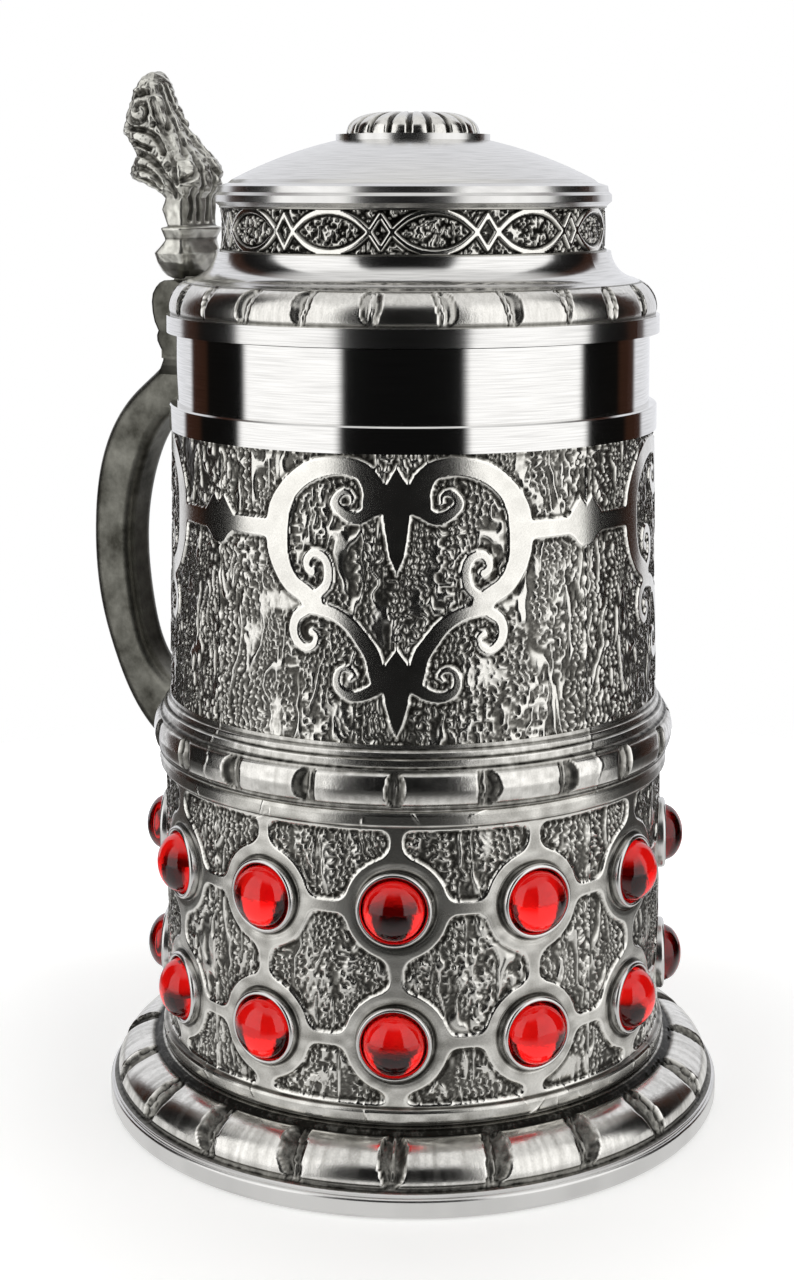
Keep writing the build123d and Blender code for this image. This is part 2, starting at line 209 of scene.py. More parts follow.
# %% [markdown]
# ## The floor
# A plain pale disc with a painted glow. Close to the tankard the glow is weaker, painted shade round its soft
# contact shadow, and further out it glows more, so it meets the white backdrop with no line. What the metal
# reflects of the floor is painted apart: a dark grey sheet whose painted glow is bright close by, and further
# out paints the soft boxes' pattern, a painted reflection with painted shade in front where the dark card
# stands.
# %% Pale floor
FLOOR_RADIUS = 0.3
FLOOR_DROP = 0.0002
SHADE_START, SHADE_END, SHADE_GLOW = 0.06, 0.27, 0.34
PAINTED_PANELS_START, PAINTED_PANELS_END = 0.08, 0.2
FLOOR_PAINTED_GLOW = 0.76

bm = bmesh.new()
bmesh.ops.create_circle(bm, cap_ends=True, segments=96, radius=FLOOR_RADIUS)
floor_mesh = bpy.data.meshes.new("floor")
bm.to_mesh(floor_mesh)
bm.free()
floor = bpy.data.objects.new("floor", floor_mesh)
floor.location.z = cad_box[0][2] - FLOOR_DROP
scene.collection.objects.link(floor)

paper, add, shader, place = new_material("white_studio_paper", {"Roughness": 0.9})
seen = add("LightPath").outputs["Is Camera Ray"]
reach = add("VectorMath", {0: place}, operation="LENGTH").outputs["Value"]
# For the camera the floor's glow is painted weaker close to the tankard: painted shade round the contact
# shadow.
shade = {"Value": reach, "From Min": SHADE_START, "From Max": SHADE_END, "To Min": SHADE_GLOW, "To Max": 1.0}
shade = add("MapRange", shade, interpolation_type="SMOOTHSTEP")
# Reflections and bounced light see the paper as dark grey: painted shade.
paper_painted_dark_for_reflections = add("Mix", {0: seen, 6: linear("#3c3c3a"), 7: linear("#f4f4f2")}, data_type="RGBA").outputs[2]
far = {"Value": reach, "From Min": PAINTED_PANELS_START, "From Max": PAINTED_PANELS_END}
far = add("MapRange", far, interpolation_type="SMOOTHSTEP")
# Glow seen in reflections: white close by, then the panels' colours, a painted reflection of the soft boxes
# with painted shade where the dark card stands.
painted_panel_reflection = add("Mix", {0: far, 6: WHITE, 7: panel_light(add, place)}, data_type="RGBA").outputs[2]
painted_floor_glow = add("Mix", {0: seen, 6: painted_panel_reflection, 7: WHITE}, data_type="RGBA").outputs[2]
# How strongly the floor glows: painted light, even for reflections and weaker near the tankard for the
# camera.
glow = add("Mix", {0: seen, 2: FLOOR_PAINTED_GLOW, 3: shade}, data_type="FLOAT")
fill(shader, {"Base Color": paper_painted_dark_for_reflections, "Emission Color": painted_floor_glow, "Emission Strength": glow})
floor_mesh.materials.append(paper)
print("floor radius", FLOOR_RADIUS, "m")

# %% [markdown]
# ## Antiqued pewter
# Cast pewter is darkened all over with a patina, then rubbed back, so ridges shine and hollows stay nearly
# black. Each relief mesh carries a value called rub, 0 in a hollow and 1 on a ridge, and the material mixes
# patina and bright metal by it. In places rub also holds painted light: highlights along the straps' edges,
# partly rubbed wear and partly painted, and painted shade in lines at the lower drum's borders and where the
# foot's staves meet the drum. Rubbed metal is also smoother, so roughness follows the same value. Fine grain
# from the sand and the polishing cloth comes from noise, 0.35 mm across and as coarse as it has to be to
# show.
# %% Antiqued pewter
METAL = {"Metallic": 1.0}
GRAIN_MM = 0.35
PATINA_CLOUD_MM = 9
STREAK_MM = 0.9


def antiqued_pewter(name, patina, bright, streaks=0.0, dull=0.42, shiny=0.15):
    """Cast pewter: dark hollows, rubbed bright ridges, fine cloth marks."""
    material, add, shader, place = new_material(name, METAL)
    rub = add("Attribute", attribute_name="rub").outputs["Fac"]
    grain = {"Vector": place, "Scale": 1 / (GRAIN_MM * MM), "Detail": 3.0, "Roughness": 0.65}
    grain = add("TexNoise", grain)
    cloud = add("TexNoise", {"Vector": place, "Scale": 1 / (PATINA_CLOUD_MM * MM), "Detail": 3.0})
    upright = add("Mapping", {"Vector": place, "Scale": (1.0, 1.0, 0.12)})
    streak = add("TexNoise", {"Vector": upright, "Scale": 1 / (STREAK_MM * MM), "Detail": 2.0})
    worn = add("Math", {0: grain, 1: 0.28, 2: -0.14}, operation="MULTIPLY_ADD")
    worn = add("Math", {0: cloud, 1: 0.24, 2: worn}, operation="MULTIPLY_ADD")
    worn = add("Math", {0: streak, 1: -streaks, 2: worn}, operation="MULTIPLY_ADD")
    worn = add("Math", {0: worn, 1: rub}, operation="ADD")
    worn = add("Math", {0: worn, 1: 0.5 * streaks - 0.12}, operation="ADD", use_clamp=True)
    colour = add("ValToRGB", {"Fac": worn})
    set_stops(colour, [(0.0, linear(patina)), (0.4, linear("#8d8b85")), (1.0, linear(bright))])
    gloss = add("MapRange", {"Value": worn, "To Min": dull, "To Max": shiny})
    marks = add("Bump", {"Height": grain, "Distance": 0.03 * MM, "Strength": 0.5})
    fill(shader, {"Base Color": colour, "Roughness": gloss, "Normal": marks})
    return material


drum_pewter = antiqued_pewter("antiqued_cast_pewter", "#34322e", "#e8e6e0")
rubbed_pewter = antiqued_pewter("rubbed_cast_pewter", "#1f1e1b", "#e6e4df", streaks=0.35)
leaf_pewter = antiqued_pewter("aged_leaf_pewter", "#35342e", "#dbdad2", dull=0.46, shiny=0.3)
frieze_pewter = antiqued_pewter("blackened_frieze_pewter", "#12110f", "#e4e2dc")
print("four antiqued finishes")

# %% [markdown]
# ## Turned pewter
# The collar, the lid's flange and the dome are finished on a lathe. A lathe leaves very fine rings, which
# draw highlights out along the height. Noise squeezed to thin level lines gives them, 0.25 mm apart on the
# collar, and the roughness changes slowly in clouds, as a hand-polished surface does.
# %% Turned pewter
POLISH_CLOUD_MM = 14
RING_TURN_SCALE = 4.0


def turned_pewter(name, colour, roughness, line_mm, depth_mm, flat=False):
    """Lathe-turned pewter: bright, with fine rings along the height, or outwards on a flat face."""
    material, add, shader, place = new_material(name, METAL)
    parts = add("SeparateXYZ", {"Vector": place}).outputs
    level = add("CombineXYZ", {"X": parts["X"], "Y": parts["Y"], "Z": 0.0})
    radius = add("VectorMath", {0: level}, operation="LENGTH").outputs["Value"]
    angle = add("Math", {0: parts["Y"], 1: parts["X"]}, operation="ARCTAN2")
    ring = add("Math", {0: radius if flat else parts["Z"], 1: 1 / (line_mm * MM)}, operation="MULTIPLY")
    around = add("Math", {0: angle, 1: RING_TURN_SCALE}, operation="MULTIPLY")
    spread = add("CombineXYZ", {"X": ring, "Y": around, "Z": 0.0})
    lines = add("TexNoise", {"Vector": spread, "Scale": 1.0, "Detail": 2.0})
    cloud = add("TexNoise", {"Vector": place, "Scale": 1 / (POLISH_CLOUD_MM * MM), "Detail": 2.0})
    shade = add("ValToRGB", {"Fac": lines})
    set_stops(shade, [(0.3, linear("#cbcac8")), (0.6, linear(colour))])
    gloss = add("MapRange", {"Value": cloud, "To Min": roughness * 0.8, "To Max": roughness * 1.2})
    marks = add("Bump", {"Height": lines, "Distance": depth_mm * MM, "Strength": 0.4})
    fill(shader, {"Base Color": shade, "Roughness": gloss, "Normal": marks})
    return material


collar_pewter = turned_pewter("polished_turned_pewter", "#e2e1df", 0.08, 0.25, 0.0012)
lid_pewter = turned_pewter("brushed_turned_pewter", "#dfdedc", 0.15, 0.3, 0.003)
dome_pewter = turned_pewter("satin_turned_pewter", "#dcdbd9", 0.22, 0.4, 0.005, flat=True)
print("three turned finishes")

# %% [markdown]
# ## Plain cast pewter and steel
# The handle and its knuckles keep the skin of the mould, so their patina lies in clouds. The base plate is
# the same metal, paler, and the hinge pin is drawn steel with smaller clouds.
# %% Cast pewter and steel
CAST_GRAIN_MM = 0.8


def clouded_pewter(name, dark, bright, cloud_mm, smooth=0.3, rough=0.48):
    """Cast pewter with patina left in clouds, between two roughnesses."""
    material, add, shader, place = new_material(name, METAL)
    cloud = add("TexNoise", {"Vector": place, "Scale": 1 / (cloud_mm * MM), "Detail": 5.0, "Roughness": 0.6})
    colour = add("ValToRGB", {"Fac": cloud})
    set_stops(colour, [(0.33, linear(dark)), (0.7, linear(bright))])
    grain = add("TexNoise", {"Vector": place, "Scale": 1 / (CAST_GRAIN_MM * MM), "Detail": 3.0})
    gloss = add("MapRange", {"Value": grain, "To Min": smooth, "To Max": rough})
    marks = add("Bump", {"Height": grain, "Distance": 0.05 * MM, "Strength": 0.5})
    fill(shader, {"Base Color": colour, "Roughness": gloss, "Normal": marks})
    return material


handle_pewter = clouded_pewter("clouded_cast_pewter", "#3f3e38", "#87867e", 9.0)
base_pewter = clouded_pewter("plain_cast_pewter", "#8b8a85", "#c4c3bd", 12.0)
steel = clouded_pewter("drawn_steel", "#8d9092", "#c3c6c8", 3.0)
print("clouded and steel finishes")

# %% [markdown]
# ## How a wall of relief is made
# The drums, bands and rings are all surfaces of revolution with carving on them. Each starts as a closed
# outline in the radius-height plane, which a spin turns into a wall; its outer side is divided finely first.
# The carving is then a height for each place on the wall, added along the surface, as a sculptor's brush
# would. A closed outline gives a closed solid, so nothing has to be patched afterwards.
# %% Spin an outline into a wall
SPLITS = 12
WELD_MM = 0.002


def turn_about(bm, angle_deg, axis):
    """Turns a whole bmesh about an axis through the origin."""
    turn = Matrix.Rotation(math.radians(angle_deg), 3, axis)
    bmesh.ops.rotate(bm, verts=bm.verts, cent=(0, 0, 0), matrix=turn)


def spin_outline(outer, inner, steps, cell_mm, arc_deg=360.0, start_deg=0.0):
    """Spins a closed outline of (radius, height) millimetres; outer is divided finely, inner stays plain."""
    bm = bmesh.new()
    corners = [bm.verts.new((r * MM, 0.0, z * MM)) for r, z in [*outer, *inner]]
    sides = [bm.edges.new(pair) for pair in zip(corners, [*corners[1:], corners[0]])]
    for side in sides[:len(outer) - 1]:
        cuts = int(side.calc_length() / (cell_mm * MM))
        if cuts:
            bmesh.ops.subdivide_edges(bm, edges=[side], cuts=cuts)
    turn_about(bm, start_deg, "Z")
    whole = arc_deg == 360.0
    turns = max(4, round(steps / SPLITS))
    bmesh.ops.spin(
        bm, geom=[*bm.verts, *bm.edges], cent=(0, 0, 0), axis=(0, 0, 1), dvec=(0, 0, 0),
        angle=math.radians(arc_deg), steps=turns, use_merge=whole,
    )
    if not whole:
        bmesh.ops.holes_fill(bm, edges=[e for e in bm.edges if e.is_boundary], sides=0)
    bmesh.ops.remove_doubles(bm, verts=bm.verts, dist=WELD_MM * MM)
    ends = [(e, *[(v.co.z, v.co.xy.length) for v in e.verts]) for e in bm.edges]
    level = [e for e, a, b in ends if abs(a[0] - b[0]) < 1e-7 and abs(a[1] - b[1]) < 1e-7]
    bmesh.ops.subdivide_edges(bm, edges=level, cuts=SPLITS - 1)
    turn = math.radians(arc_deg) / turns
    for vert in bm.verts:
        off = (math.atan2(vert.co.y, vert.co.x) - math.radians(start_deg)) % turn - turn / 2
        vert.co.xy *= math.cos(off) / math.cos(turn / 2)
    bmesh.ops.recalc_face_normals(bm, faces=bm.faces)
    return bm


def finish_piece(bm, name, body, finish, stands_for=(), sharp_deg=50.0):
    """Makes an object of a bmesh, smooth except at corners, that rides on a body."""
    mesh = bpy.data.meshes.new(name)
    bm.to_mesh(mesh)
    bm.free()
    mesh.shade_smooth()
    mesh.set_sharp_from_angle(angle=math.radians(sharp_deg))
    mesh.materials.append(finish)
    piece = bpy.data.objects.new(name, mesh)
    scene.collection.objects.link(piece)
    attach(piece, body)
    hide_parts(*stands_for)
    print(name, len(mesh.polygons), "faces")
    return piece


# %% Read, move and mark the places of a mesh
def read_rows(mesh, what):
    """One row of three numbers for each vertex of a mesh: its "co" or its "normal"."""
    flat = np.empty(len(mesh.vertices) * 3, np.float32)
    mesh.vertices.foreach_get(what, flat)
    return flat.reshape(-1, 3).astype(float)


def read_places(mesh):
    """The places of a mesh's vertices, in millimetres."""
    return read_rows(mesh, "co") / MM


def write_relief(mesh, places, rub):
    """Moves a mesh's vertices to places, in millimetres, and stores how far each is rubbed bright, with any
    painted shade and painted highlights in it.
    """
    mesh.vertices.foreach_set("co", (places * MM).astype(np.float32).ravel())
    mark = mesh.attributes.new("rub", "FLOAT", "POINT")
    mark.data.foreach_set("value", rub.astype(np.float32))
    mesh.update()


def polar(places):
    """How far each place is from the axis, and its angle about it in degrees."""
    return np.hypot(places[:, 0], places[:, 1]), np.degrees(np.arctan2(places[:, 1], places[:, 0]))


def ease(low, high, value):
    """0 below low, 1 above high, and a smooth step between."""
    share = np.clip((value - low) / (high - low), 0.0, 1.0)
    return share * share * (3.0 - 2.0 * share)


def line_at(value, middle, reach, core=0.0):
    """1 within core of a middle value, fading to 0 at reach from it."""
    return ease(reach, core, np.abs(value - middle))


def wrap_deg(angle):
    """An angle brought into -180 to 180 degrees."""
    return (angle + 180.0) % 360.0 - 180.0


print("relief helpers ready")

# %% [markdown]
# ## Bark ground
# Behind the straps the casting has a ground like bark: upright runs of small beads, about 1 mm apart, broken
# by longer wandering ridges and a few smooth patches. Regular waves give the beads, and lattice noise, one
# random number in each cell with smooth steps between, bends and breaks them so that nothing repeats.
# %% Lattice noise and the bark
def lattice(u, z, cell_u, cell_z, seed):
    """Smooth random values from 0 to 1 over a wall, one for each cell of that size in millimetres."""
    table = np.random.default_rng(seed).random((256, 256))
    a, b = u / cell_u, z / cell_z
    i, j = np.floor(a).astype(int), np.floor(b).astype(int)
    fa, fb = ease(0.0, 1.0, a - i), ease(0.0, 1.0, b - j)
    low = table[i % 256, j % 256] * (1 - fa) + table[(i + 1) % 256, j % 256] * fa
    high = table[i % 256, (j + 1) % 256] * (1 - fa) + table[(i + 1) % 256, (j + 1) % 256] * fa
    return low * (1 - fb) + high * fb


RUN_PITCH = 1.45
BEAD_PITCH = 1.0


def bark(u, z, seed):
    """The height of the bark ground, 0 to 1, at places u across and z up, in millimetres."""
    bent = u + 3.6 * lattice(u, z, 6.0, 9.0, seed) + 1.5 * lattice(u, z, 1.9, 2.6, seed + 1)
    run = np.floor(bent / RUN_PITCH)
    chance = np.sin(12.9898 * run + seed) * 43758.5453
    beat = 2 * np.pi * (z / BEAD_PITCH + chance - np.floor(chance) + 1.5 * lattice(u, z, 2.2, 2.8, seed + 2))
    off_run = bent / RUN_PITCH - run - 0.5 + 0.2 * np.sin(0.5 * beat)
    thread = ease(0.4, 0.1, np.abs(off_run))
    beads = thread * (0.58 + 0.42 * np.sin(beat + 6.0 * off_run))
    crumbs = ease(0.3, 0.75, lattice(u, z, 0.62, 0.85, seed + 10))
    order = ease(0.3, 0.6, lattice(u, z, 4.0, 8.0, seed + 7))
    ground = order * beads + (1 - order) * np.maximum(0.8 * crumbs, 0.55 * beads)
    ground = ground * (0.68 + 0.5 * lattice(u, z, 3.0, 6.0, seed + 11)) + 0.16 * crumbs
    wander = u + 3.4 * lattice(u, z, 5.5, 8.0, seed + 3) + 1.2 * lattice(u, z, 1.5, 2.4, seed + 4)
    ridge = 1.0 - np.abs(2.0 * lattice(wander, z, 1.9, 13.0, seed + 5) - 1.0)
    broken = ease(0.34, 0.52, lattice(u, z, 2.4, 5.5, seed + 6))
    shadow = ease(0.5, 0.8, ridge) * broken
    ridge = ease(0.8, 0.97, ridge) * broken
    ground = np.maximum(ground * (1 - 0.75 * shadow), 1.05 * ridge)
    smooth_patch = ease(0.78, 0.93, lattice(u, z, 3.4, 6.5, seed + 8))
    patch = 0.4 + 0.3 * lattice(u, z, 0.6, 1.5, seed + 9)
    ground = ground * (1 - 0.8 * smooth_patch) + smooth_patch * patch
    return np.clip(ground, 0.0, 1.1)


print("beads", BEAD_PITCH, "mm apart")

# %% [markdown]
# ## Straps
# The scrolls and straps are strokes: a line of points, each with the half-width of the strap there. For any
# place on the wall, the distance to the line tells how far inside the strap it is, and the largest answer of
# all the strokes joins them into one flat strapwork with crisp edges. Lines are rounded first by a curve
# through the points, so a few points draw a scroll.
# %% Strokes
def rounded(points, parts=4):
    """A smooth line through (across, up, half-width) points."""
    p = np.array(points, float)
    ends = np.vstack([2 * p[0] - p[1], p, 2 * p[-1] - p[-2]])
    line = []
    for a, b, c, d in zip(ends, ends[1:], ends[2:], ends[3:]):
        for t in np.arange(parts) / parts:
            bend, swing = 2 * a - 5 * b + 4 * c - d, 3 * b - a - 3 * c + d
            line.append(0.5 * (2 * b + (c - a) * t + bend * t ** 2 + swing * t ** 3))
    return np.array([*line, p[-1]])


OUTSIDE = -50.0


def inside_stroke(u, z, line):
    """How far inside a stroke each place is, in millimetres; it is negative outside."""
    best = np.full(u.shape, OUTSIDE)
    for (u0, z0, w0), (u1, z1, w1) in zip(line, line[1:]):
        du, dz = u1 - u0, z1 - z0
        along = np.clip(((u - u0) * du + (z - z0) * dz) / (du * du + dz * dz + 1e-9), 0.0, 1.0)
        best = np.maximum(best, w0 + (w1 - w0) * along - np.hypot(u - u0 - along * du, z - z0 - along * dz))
    return best


def joined(a, b, round_mm):
    """Two inside distances as one, with a fillet of about round_mm where the shapes meet."""
    mix = np.clip(0.5 + 0.5 * (a - b) / round_mm, 0.0, 1.0)
    return b + (a - b) * mix + round_mm * mix * (1.0 - mix)


print("a stroke of three points rounds to", len(rounded([(0, 0, 1), (1, 1, 1), (2, 0, 1)])), "points")

# %% [markdown]
# ## The scroll motif
# Each quarter of the upper drum carries one motif, the same left and right of its middle: a broad arm that
# rises from the middle and swings out and down, four small curls, two spear heads, and a bar that joins it
# to the next motif at the mould seam, where an anchor-shaped boss covers the joint. Only the right half is
# listed.
# %% Scroll strokes, (across, up, half-width) in millimetres
SCROLL = [
    [(4.3, 129.6, 2.3), (4.3, 132.4, 2.3), (6.2, 135.4, 1.9), (9.4, 136.5, 1.85), (13.1, 136.4, 1.9),
     (17.3, 135.0, 2.0), (21.0, 131.9, 2.1), (23.1, 128.2, 2.5), (23.6, 124.5, 2.6), (23.6, 120.9, 2.5),
     (22.6, 117.4, 2.15), (20.5, 114.3, 1.95), (17.5, 112.4, 1.9), (16.0, 110.9, 2.3)],
    [(2.7, 129.8, 1.9), (4.5, 128.8, 1.5), (7.0, 127.1, 1.3), (9.2, 127.4, 1.2), (11.3, 129.0, 1.05),
     (11.5, 130.4, 0.9), (10.1, 131.8, 0.75), (8.5, 131.2, 0.55), (8.4, 130.0, 0.4)],
    [(15.9, 111.8, 1.1), (13.4, 114.1, 1.05), (12.8, 116.3, 1.0), (13.1, 118.5, 1.0), (14.3, 119.9, 0.95),
     (16.1, 120.1, 0.9), (17.2, 118.7, 0.85), (17.1, 117.3, 0.8), (16.2, 116.7, 0.95)],
    [(17.1, 109.6, 1.15), (19.3, 108.0, 1.1), (20.0, 105.7, 1.05), (19.3, 103.6, 1.0), (17.5, 102.3, 0.9),
     (15.8, 103.0, 0.75), (15.3, 104.7, 0.65), (16.2, 105.4, 0.8)],
    [(15.9, 110.0, 1.35), (12.1, 109.2, 1.4), (8.8, 107.2, 1.5), (6.3, 104.2, 1.6), (4.5, 101.4, 1.7),
     (3.8, 98.4, 1.7), (3.4, 96.4, 1.5)],
    [(3.0, 96.0, 1.4), (5.9, 94.3, 1.25), (8.5, 93.8, 1.05), (10.7, 94.9, 0.95), (11.3, 96.7, 0.85),
     (10.7, 98.5, 0.7), (9.2, 99.0, 0.6), (7.9, 98.0, 0.5), (8.5, 97.0, 0.4)],
]
UPPER_SPEAR = [
    (116.4, 0.0), (120.0, 1.6), (124.4, 2.3), (128.2, 2.75), (130.4, 3.4), (132.6, 2.5), (136.9, 0.0),
]
LOWER_SPEAR = [(86.0, 0.0), (88.9, 1.25), (92.1, 2.2), (95.6, 2.75), (98.0, 3.2), (100.4, 2.0), (103.1, 0.0)]
BAR_LEVEL = 124.2
BAR = [(25.5, BAR_LEVEL, 1.8), (34.0, BAR_LEVEL, 1.75)]
BOSS_RISE = [(33.4, 1.6), (34.2, 1.7), (35.6, 3.3), (37.3, 5.4), (38.0, 5.0), (39.0, 3.7)]
BOSS_DROP = [(33.4, 1.6), (34.6, 1.75), (35.8, 2.5), (37.0, 3.9), (38.2, 4.3), (39.0, 4.3)]


def inside_spear(u, z, widths):
    """How far inside an upright spear head each place is; widths are (up, half-width)."""
    heights, halves = zip(*widths)
    half = np.interp(z, heights, halves)
    ends = np.minimum(z - heights[0], heights[-1] - z)
    return np.minimum((half - u) * 0.9, ends)


def scroll_motif(across, z):
    """How far inside the strapwork of one quarter each place is; across is measured from its middle."""
    u = np.abs(across)
    inside = np.maximum(inside_spear(u, z, UPPER_SPEAR), inside_spear(u, z, LOWER_SPEAR))
    for points in SCROLL:
        inside = np.maximum(inside, inside_stroke(u, z, rounded(points)))
    inside = joined(inside, inside_stroke(u, z, np.array(BAR)), 0.8)
    rise = np.interp(u, *zip(*BOSS_RISE))
    drop = np.interp(u, *zip(*BOSS_DROP))
    boss = np.minimum(BAR_LEVEL + rise - z, z - BAR_LEVEL + drop) * 0.75
    return np.maximum(inside, np.where(u > BOSS_RISE[0][0], boss, OUTSIDE))


print("strokes in half a motif:", len(SCROLL))

# %% [markdown]
# ## The upper drum
# On the real tankard the mould came apart in quarters, and fine upright seams show where they met. So each
# quarter is its own casting here, and two of them butt at each seam. The straps stand about half a
# millimetre over the bark, with a dark line along their foot where the patina was never rubbed off.
# %% Upper drum quarters
QUARTERS_DEG = [-63.0, 27.0, 117.0, 207.0]
UPPER_OUTLINE = [(50.1, 85.0), (49.2, 138.9)]
UPPER_WALL = 49.6
UPPER_SEAM = 38.75
CUP_BORE = 46.5
WALL_CELL = 0.25
STRAP_PROUD = 0.7
STRAP_EDGE = 0.32
TOP_GROOVE = 138.3


def strap_relief(inside, ground, proud, polish):
    """Height in millimetres and rub of a wall: flat straps, rubbed by polish, with a bright edge that is
    partly rubbed wear and partly painted highlight, over a ground from 0 to 1.
    """
    strap = ease(-STRAP_EDGE, STRAP_EDGE * 0.4, inside)
    height = -proud + proud * np.maximum(strap, 0.2 + 0.62 * np.clip(ground, 0.0, 1.0))
    # The edge band brightens each strap's rim: partly rubbed wear, partly a painted highlight of its steep
    # side.
    edge = ease(-0.3, 0.1, inside) * (1 - ease(0.25, 0.6, inside))
    moat = ease(-1.1, -0.5, inside) * (1 - ease(-0.45, -0.15, inside))
    rub = (0.1 + 0.8 * ease(0.1, 0.72, ground)) * (1 - strap) + strap * polish
    return height - 0.12 * moat * proud, np.clip(rub - 0.6 * moat + 0.4 * edge, 0.0, 1.0)


def seam_over(inside, across, z, half_width, waves):
    """Adds the thin wavy mould seam at both sides of a quarter to an inside distance."""
    seam = ease(half_width - 0.1, half_width + 0.1, np.abs(across) + 0.08 * np.sin(z * waves))
    return np.maximum(inside, -0.35 + 0.4 * seam + OUTSIDE * (seam == 0.0))


def cast_quarters(drum, outer, bore, wall_radius, relief, first_seed):
    """A drum in four quarters: spun walls whose outer side is carved by relief(across, up, seed)."""
    inner = [(bore, outer[-1][1]), (bore, outer[0][1])]
    steps = int(math.radians(90) * wall_radius / WALL_CELL)
    for number, middle_deg in enumerate(QUARTERS_DEG):
        bm = spin_outline(outer, inner, steps, WALL_CELL, 90.0, middle_deg - 45.0)
        name = f"{drum}_quarter_{number + 1}"
        piece = finish_piece(bm, name, "tankard", drum_pewter, [drum])
        places = read_places(piece.data)
        radius, angle = polar(places)
        skin = radius > bore + 0.5
        across = np.radians(wrap_deg(angle - middle_deg)) * wall_radius
        height, rub = relief(across, places[:, 2], first_seed + 20 * number)
        carved = radius + np.where(skin, height, 0.0)
        places[:, :2] *= (carved / radius)[:, None]
        write_relief(piece.data, places, np.where(skin, rub, 0.4))


def upper_relief(across, z, seed):
    """The upper drum's relief: scrolls on bark, with a thin raised seam at each side."""
    inside = seam_over(scroll_motif(across, z), across, z, UPPER_SEAM, 0.9)
    polish = 0.84 + 0.1 * lattice(across, z, 1.6, 1.6, seed + 12)
    height, rub = strap_relief(inside, bark(across, z, seed), STRAP_PROUD, polish)
    return height, rub * (1.0 - 0.5 * line_at(z, TOP_GROOVE, 0.5))


cast_quarters("upper_drum", UPPER_OUTLINE, CUP_BORE, UPPER_WALL, upper_relief, 100)

# %% [markdown]
# ## The lower drum
# The lower drum has the same bark, but its straps are a net: a flat ring round each stone, uprights through
# the stones from border to border, and level straps from ring to ring. Corners between straps are well
# rounded, so the inside distances are joined with a fillet. The stones' settings are cut into it, and the
# borders carry a few chisel nicks.
# %% Lower drum quarters
LOWER_WALL = 51.2
BORDER_WALL = 52.2
LOWER_BORE = 48.0
STONE_ROWS = [28.3, 54.1]
STONE_TURN_DEG = 30.0
SETTING_RADIUS = 7.05
SEAT_DEPTH = 1.6
LOWER_SEAM = 40.0
NICK_LEVELS = [14.5, 16.4, 69.0, 71.2]
LOWER_OUTLINE = [
    (51.6, 12.5), (52.1, 12.9), (BORDER_WALL, 13.5), (BORDER_WALL, 15.2), (51.9, 15.7), (LOWER_WALL, 15.95),
    (LOWER_WALL, 69.6), (51.9, 69.8), (BORDER_WALL, 70.3), (BORDER_WALL, 72.2), (51.9, 72.8), (51.5, 73.0),
]


def chisel_nicks(across, z, seed, count=16):
    """How far inside a few short slanting nicks each place is, along the borders of the wall."""
    pick = np.random.default_rng(seed)
    inside = np.full(across.shape, OUTSIDE)
    for _ in range(count):
        level = NICK_LEVELS[pick.integers(len(NICK_LEVELS))] + pick.normal(0.0, 0.8)
        start = pick.uniform(-38, 38)
        lean, rise = pick.normal(0.0, 1.1), pick.uniform(0.8, 1.9)
        ends = (start - lean, level - rise, 0.05), (start + lean, level + rise, 0.04)
        nick = np.array([ends[0], (start + lean * 0.3, level, 0.16), ends[1]])
        inside = np.maximum(inside, inside_stroke(across, z, nick))
    return inside


def strap_net(across, z):
    """How far inside the lower drum's net of straps each place is, and the distance to the nearest stone."""
    pitch = math.radians(STONE_TURN_DEG) * LOWER_WALL
    aside = np.abs(across - pitch * np.round(across / pitch))
    net = 1.5 - aside + 0.25 * np.cos(z * 0.7)
    stone_gap = np.full(across.shape, 50.0)
    for row in STONE_ROWS:
        level = 1.3 - np.abs(z - row)
        net = joined(net, level, 1.0)
        stone_gap = np.minimum(stone_gap, np.hypot(aside, z - row))
    net = joined(net, 10.0 - stone_gap, 2.2)
    net = joined(net, np.maximum(16.4 - z, z - 69.0), 2.0)
    return net, stone_gap


def lower_relief(across, z, seed):
    """The lower drum's relief: the strap net on bark, the stones' seats and a few nicks."""
    net, stone_gap = strap_net(across, z)
    net = seam_over(net, across, z, LOWER_SEAM, 1.0)
    scuffed = 0.52 + 0.4 * lattice(across, z, 2.2, 1.4, seed + 12)
    height, rub = strap_relief(net, bark(across, z, seed), STRAP_PROUD, scuffed)
    nick = ease(-0.15, 0.1, chisel_nicks(across, z, seed + 11))
    height = height + 0.16 * nick
    dish = line_at(stone_gap, 8.0, 0.9)
    groove = line_at(stone_gap, 7.35, 0.55, 0.1)
    seat = ease(SETTING_RADIUS - 0.1, SETTING_RADIUS - 0.5, stone_gap)
    slit = seat * ease(5.6, 5.9, stone_gap)
    height = height - 0.08 * dish - 0.3 * groove * (1 - seat) - SEAT_DEPTH * seat
    rub = (rub + 0.3 * nick - 0.7 * groove - 0.12 * dish) * (1 - slit)
    shade = ease(16.2, 15.8, z) * ease(15.5, 15.9, z) + ease(13.4, 12.6, z)
    shade = shade + ease(69.4, 69.7, z) * ease(70.2, 69.9, z)
    return height, np.clip(rub - 0.6 * shade, 0.0, 1.0)


cast_quarters("lower_drum", LOWER_OUTLINE, LOWER_BORE, LOWER_WALL, lower_relief, 300)

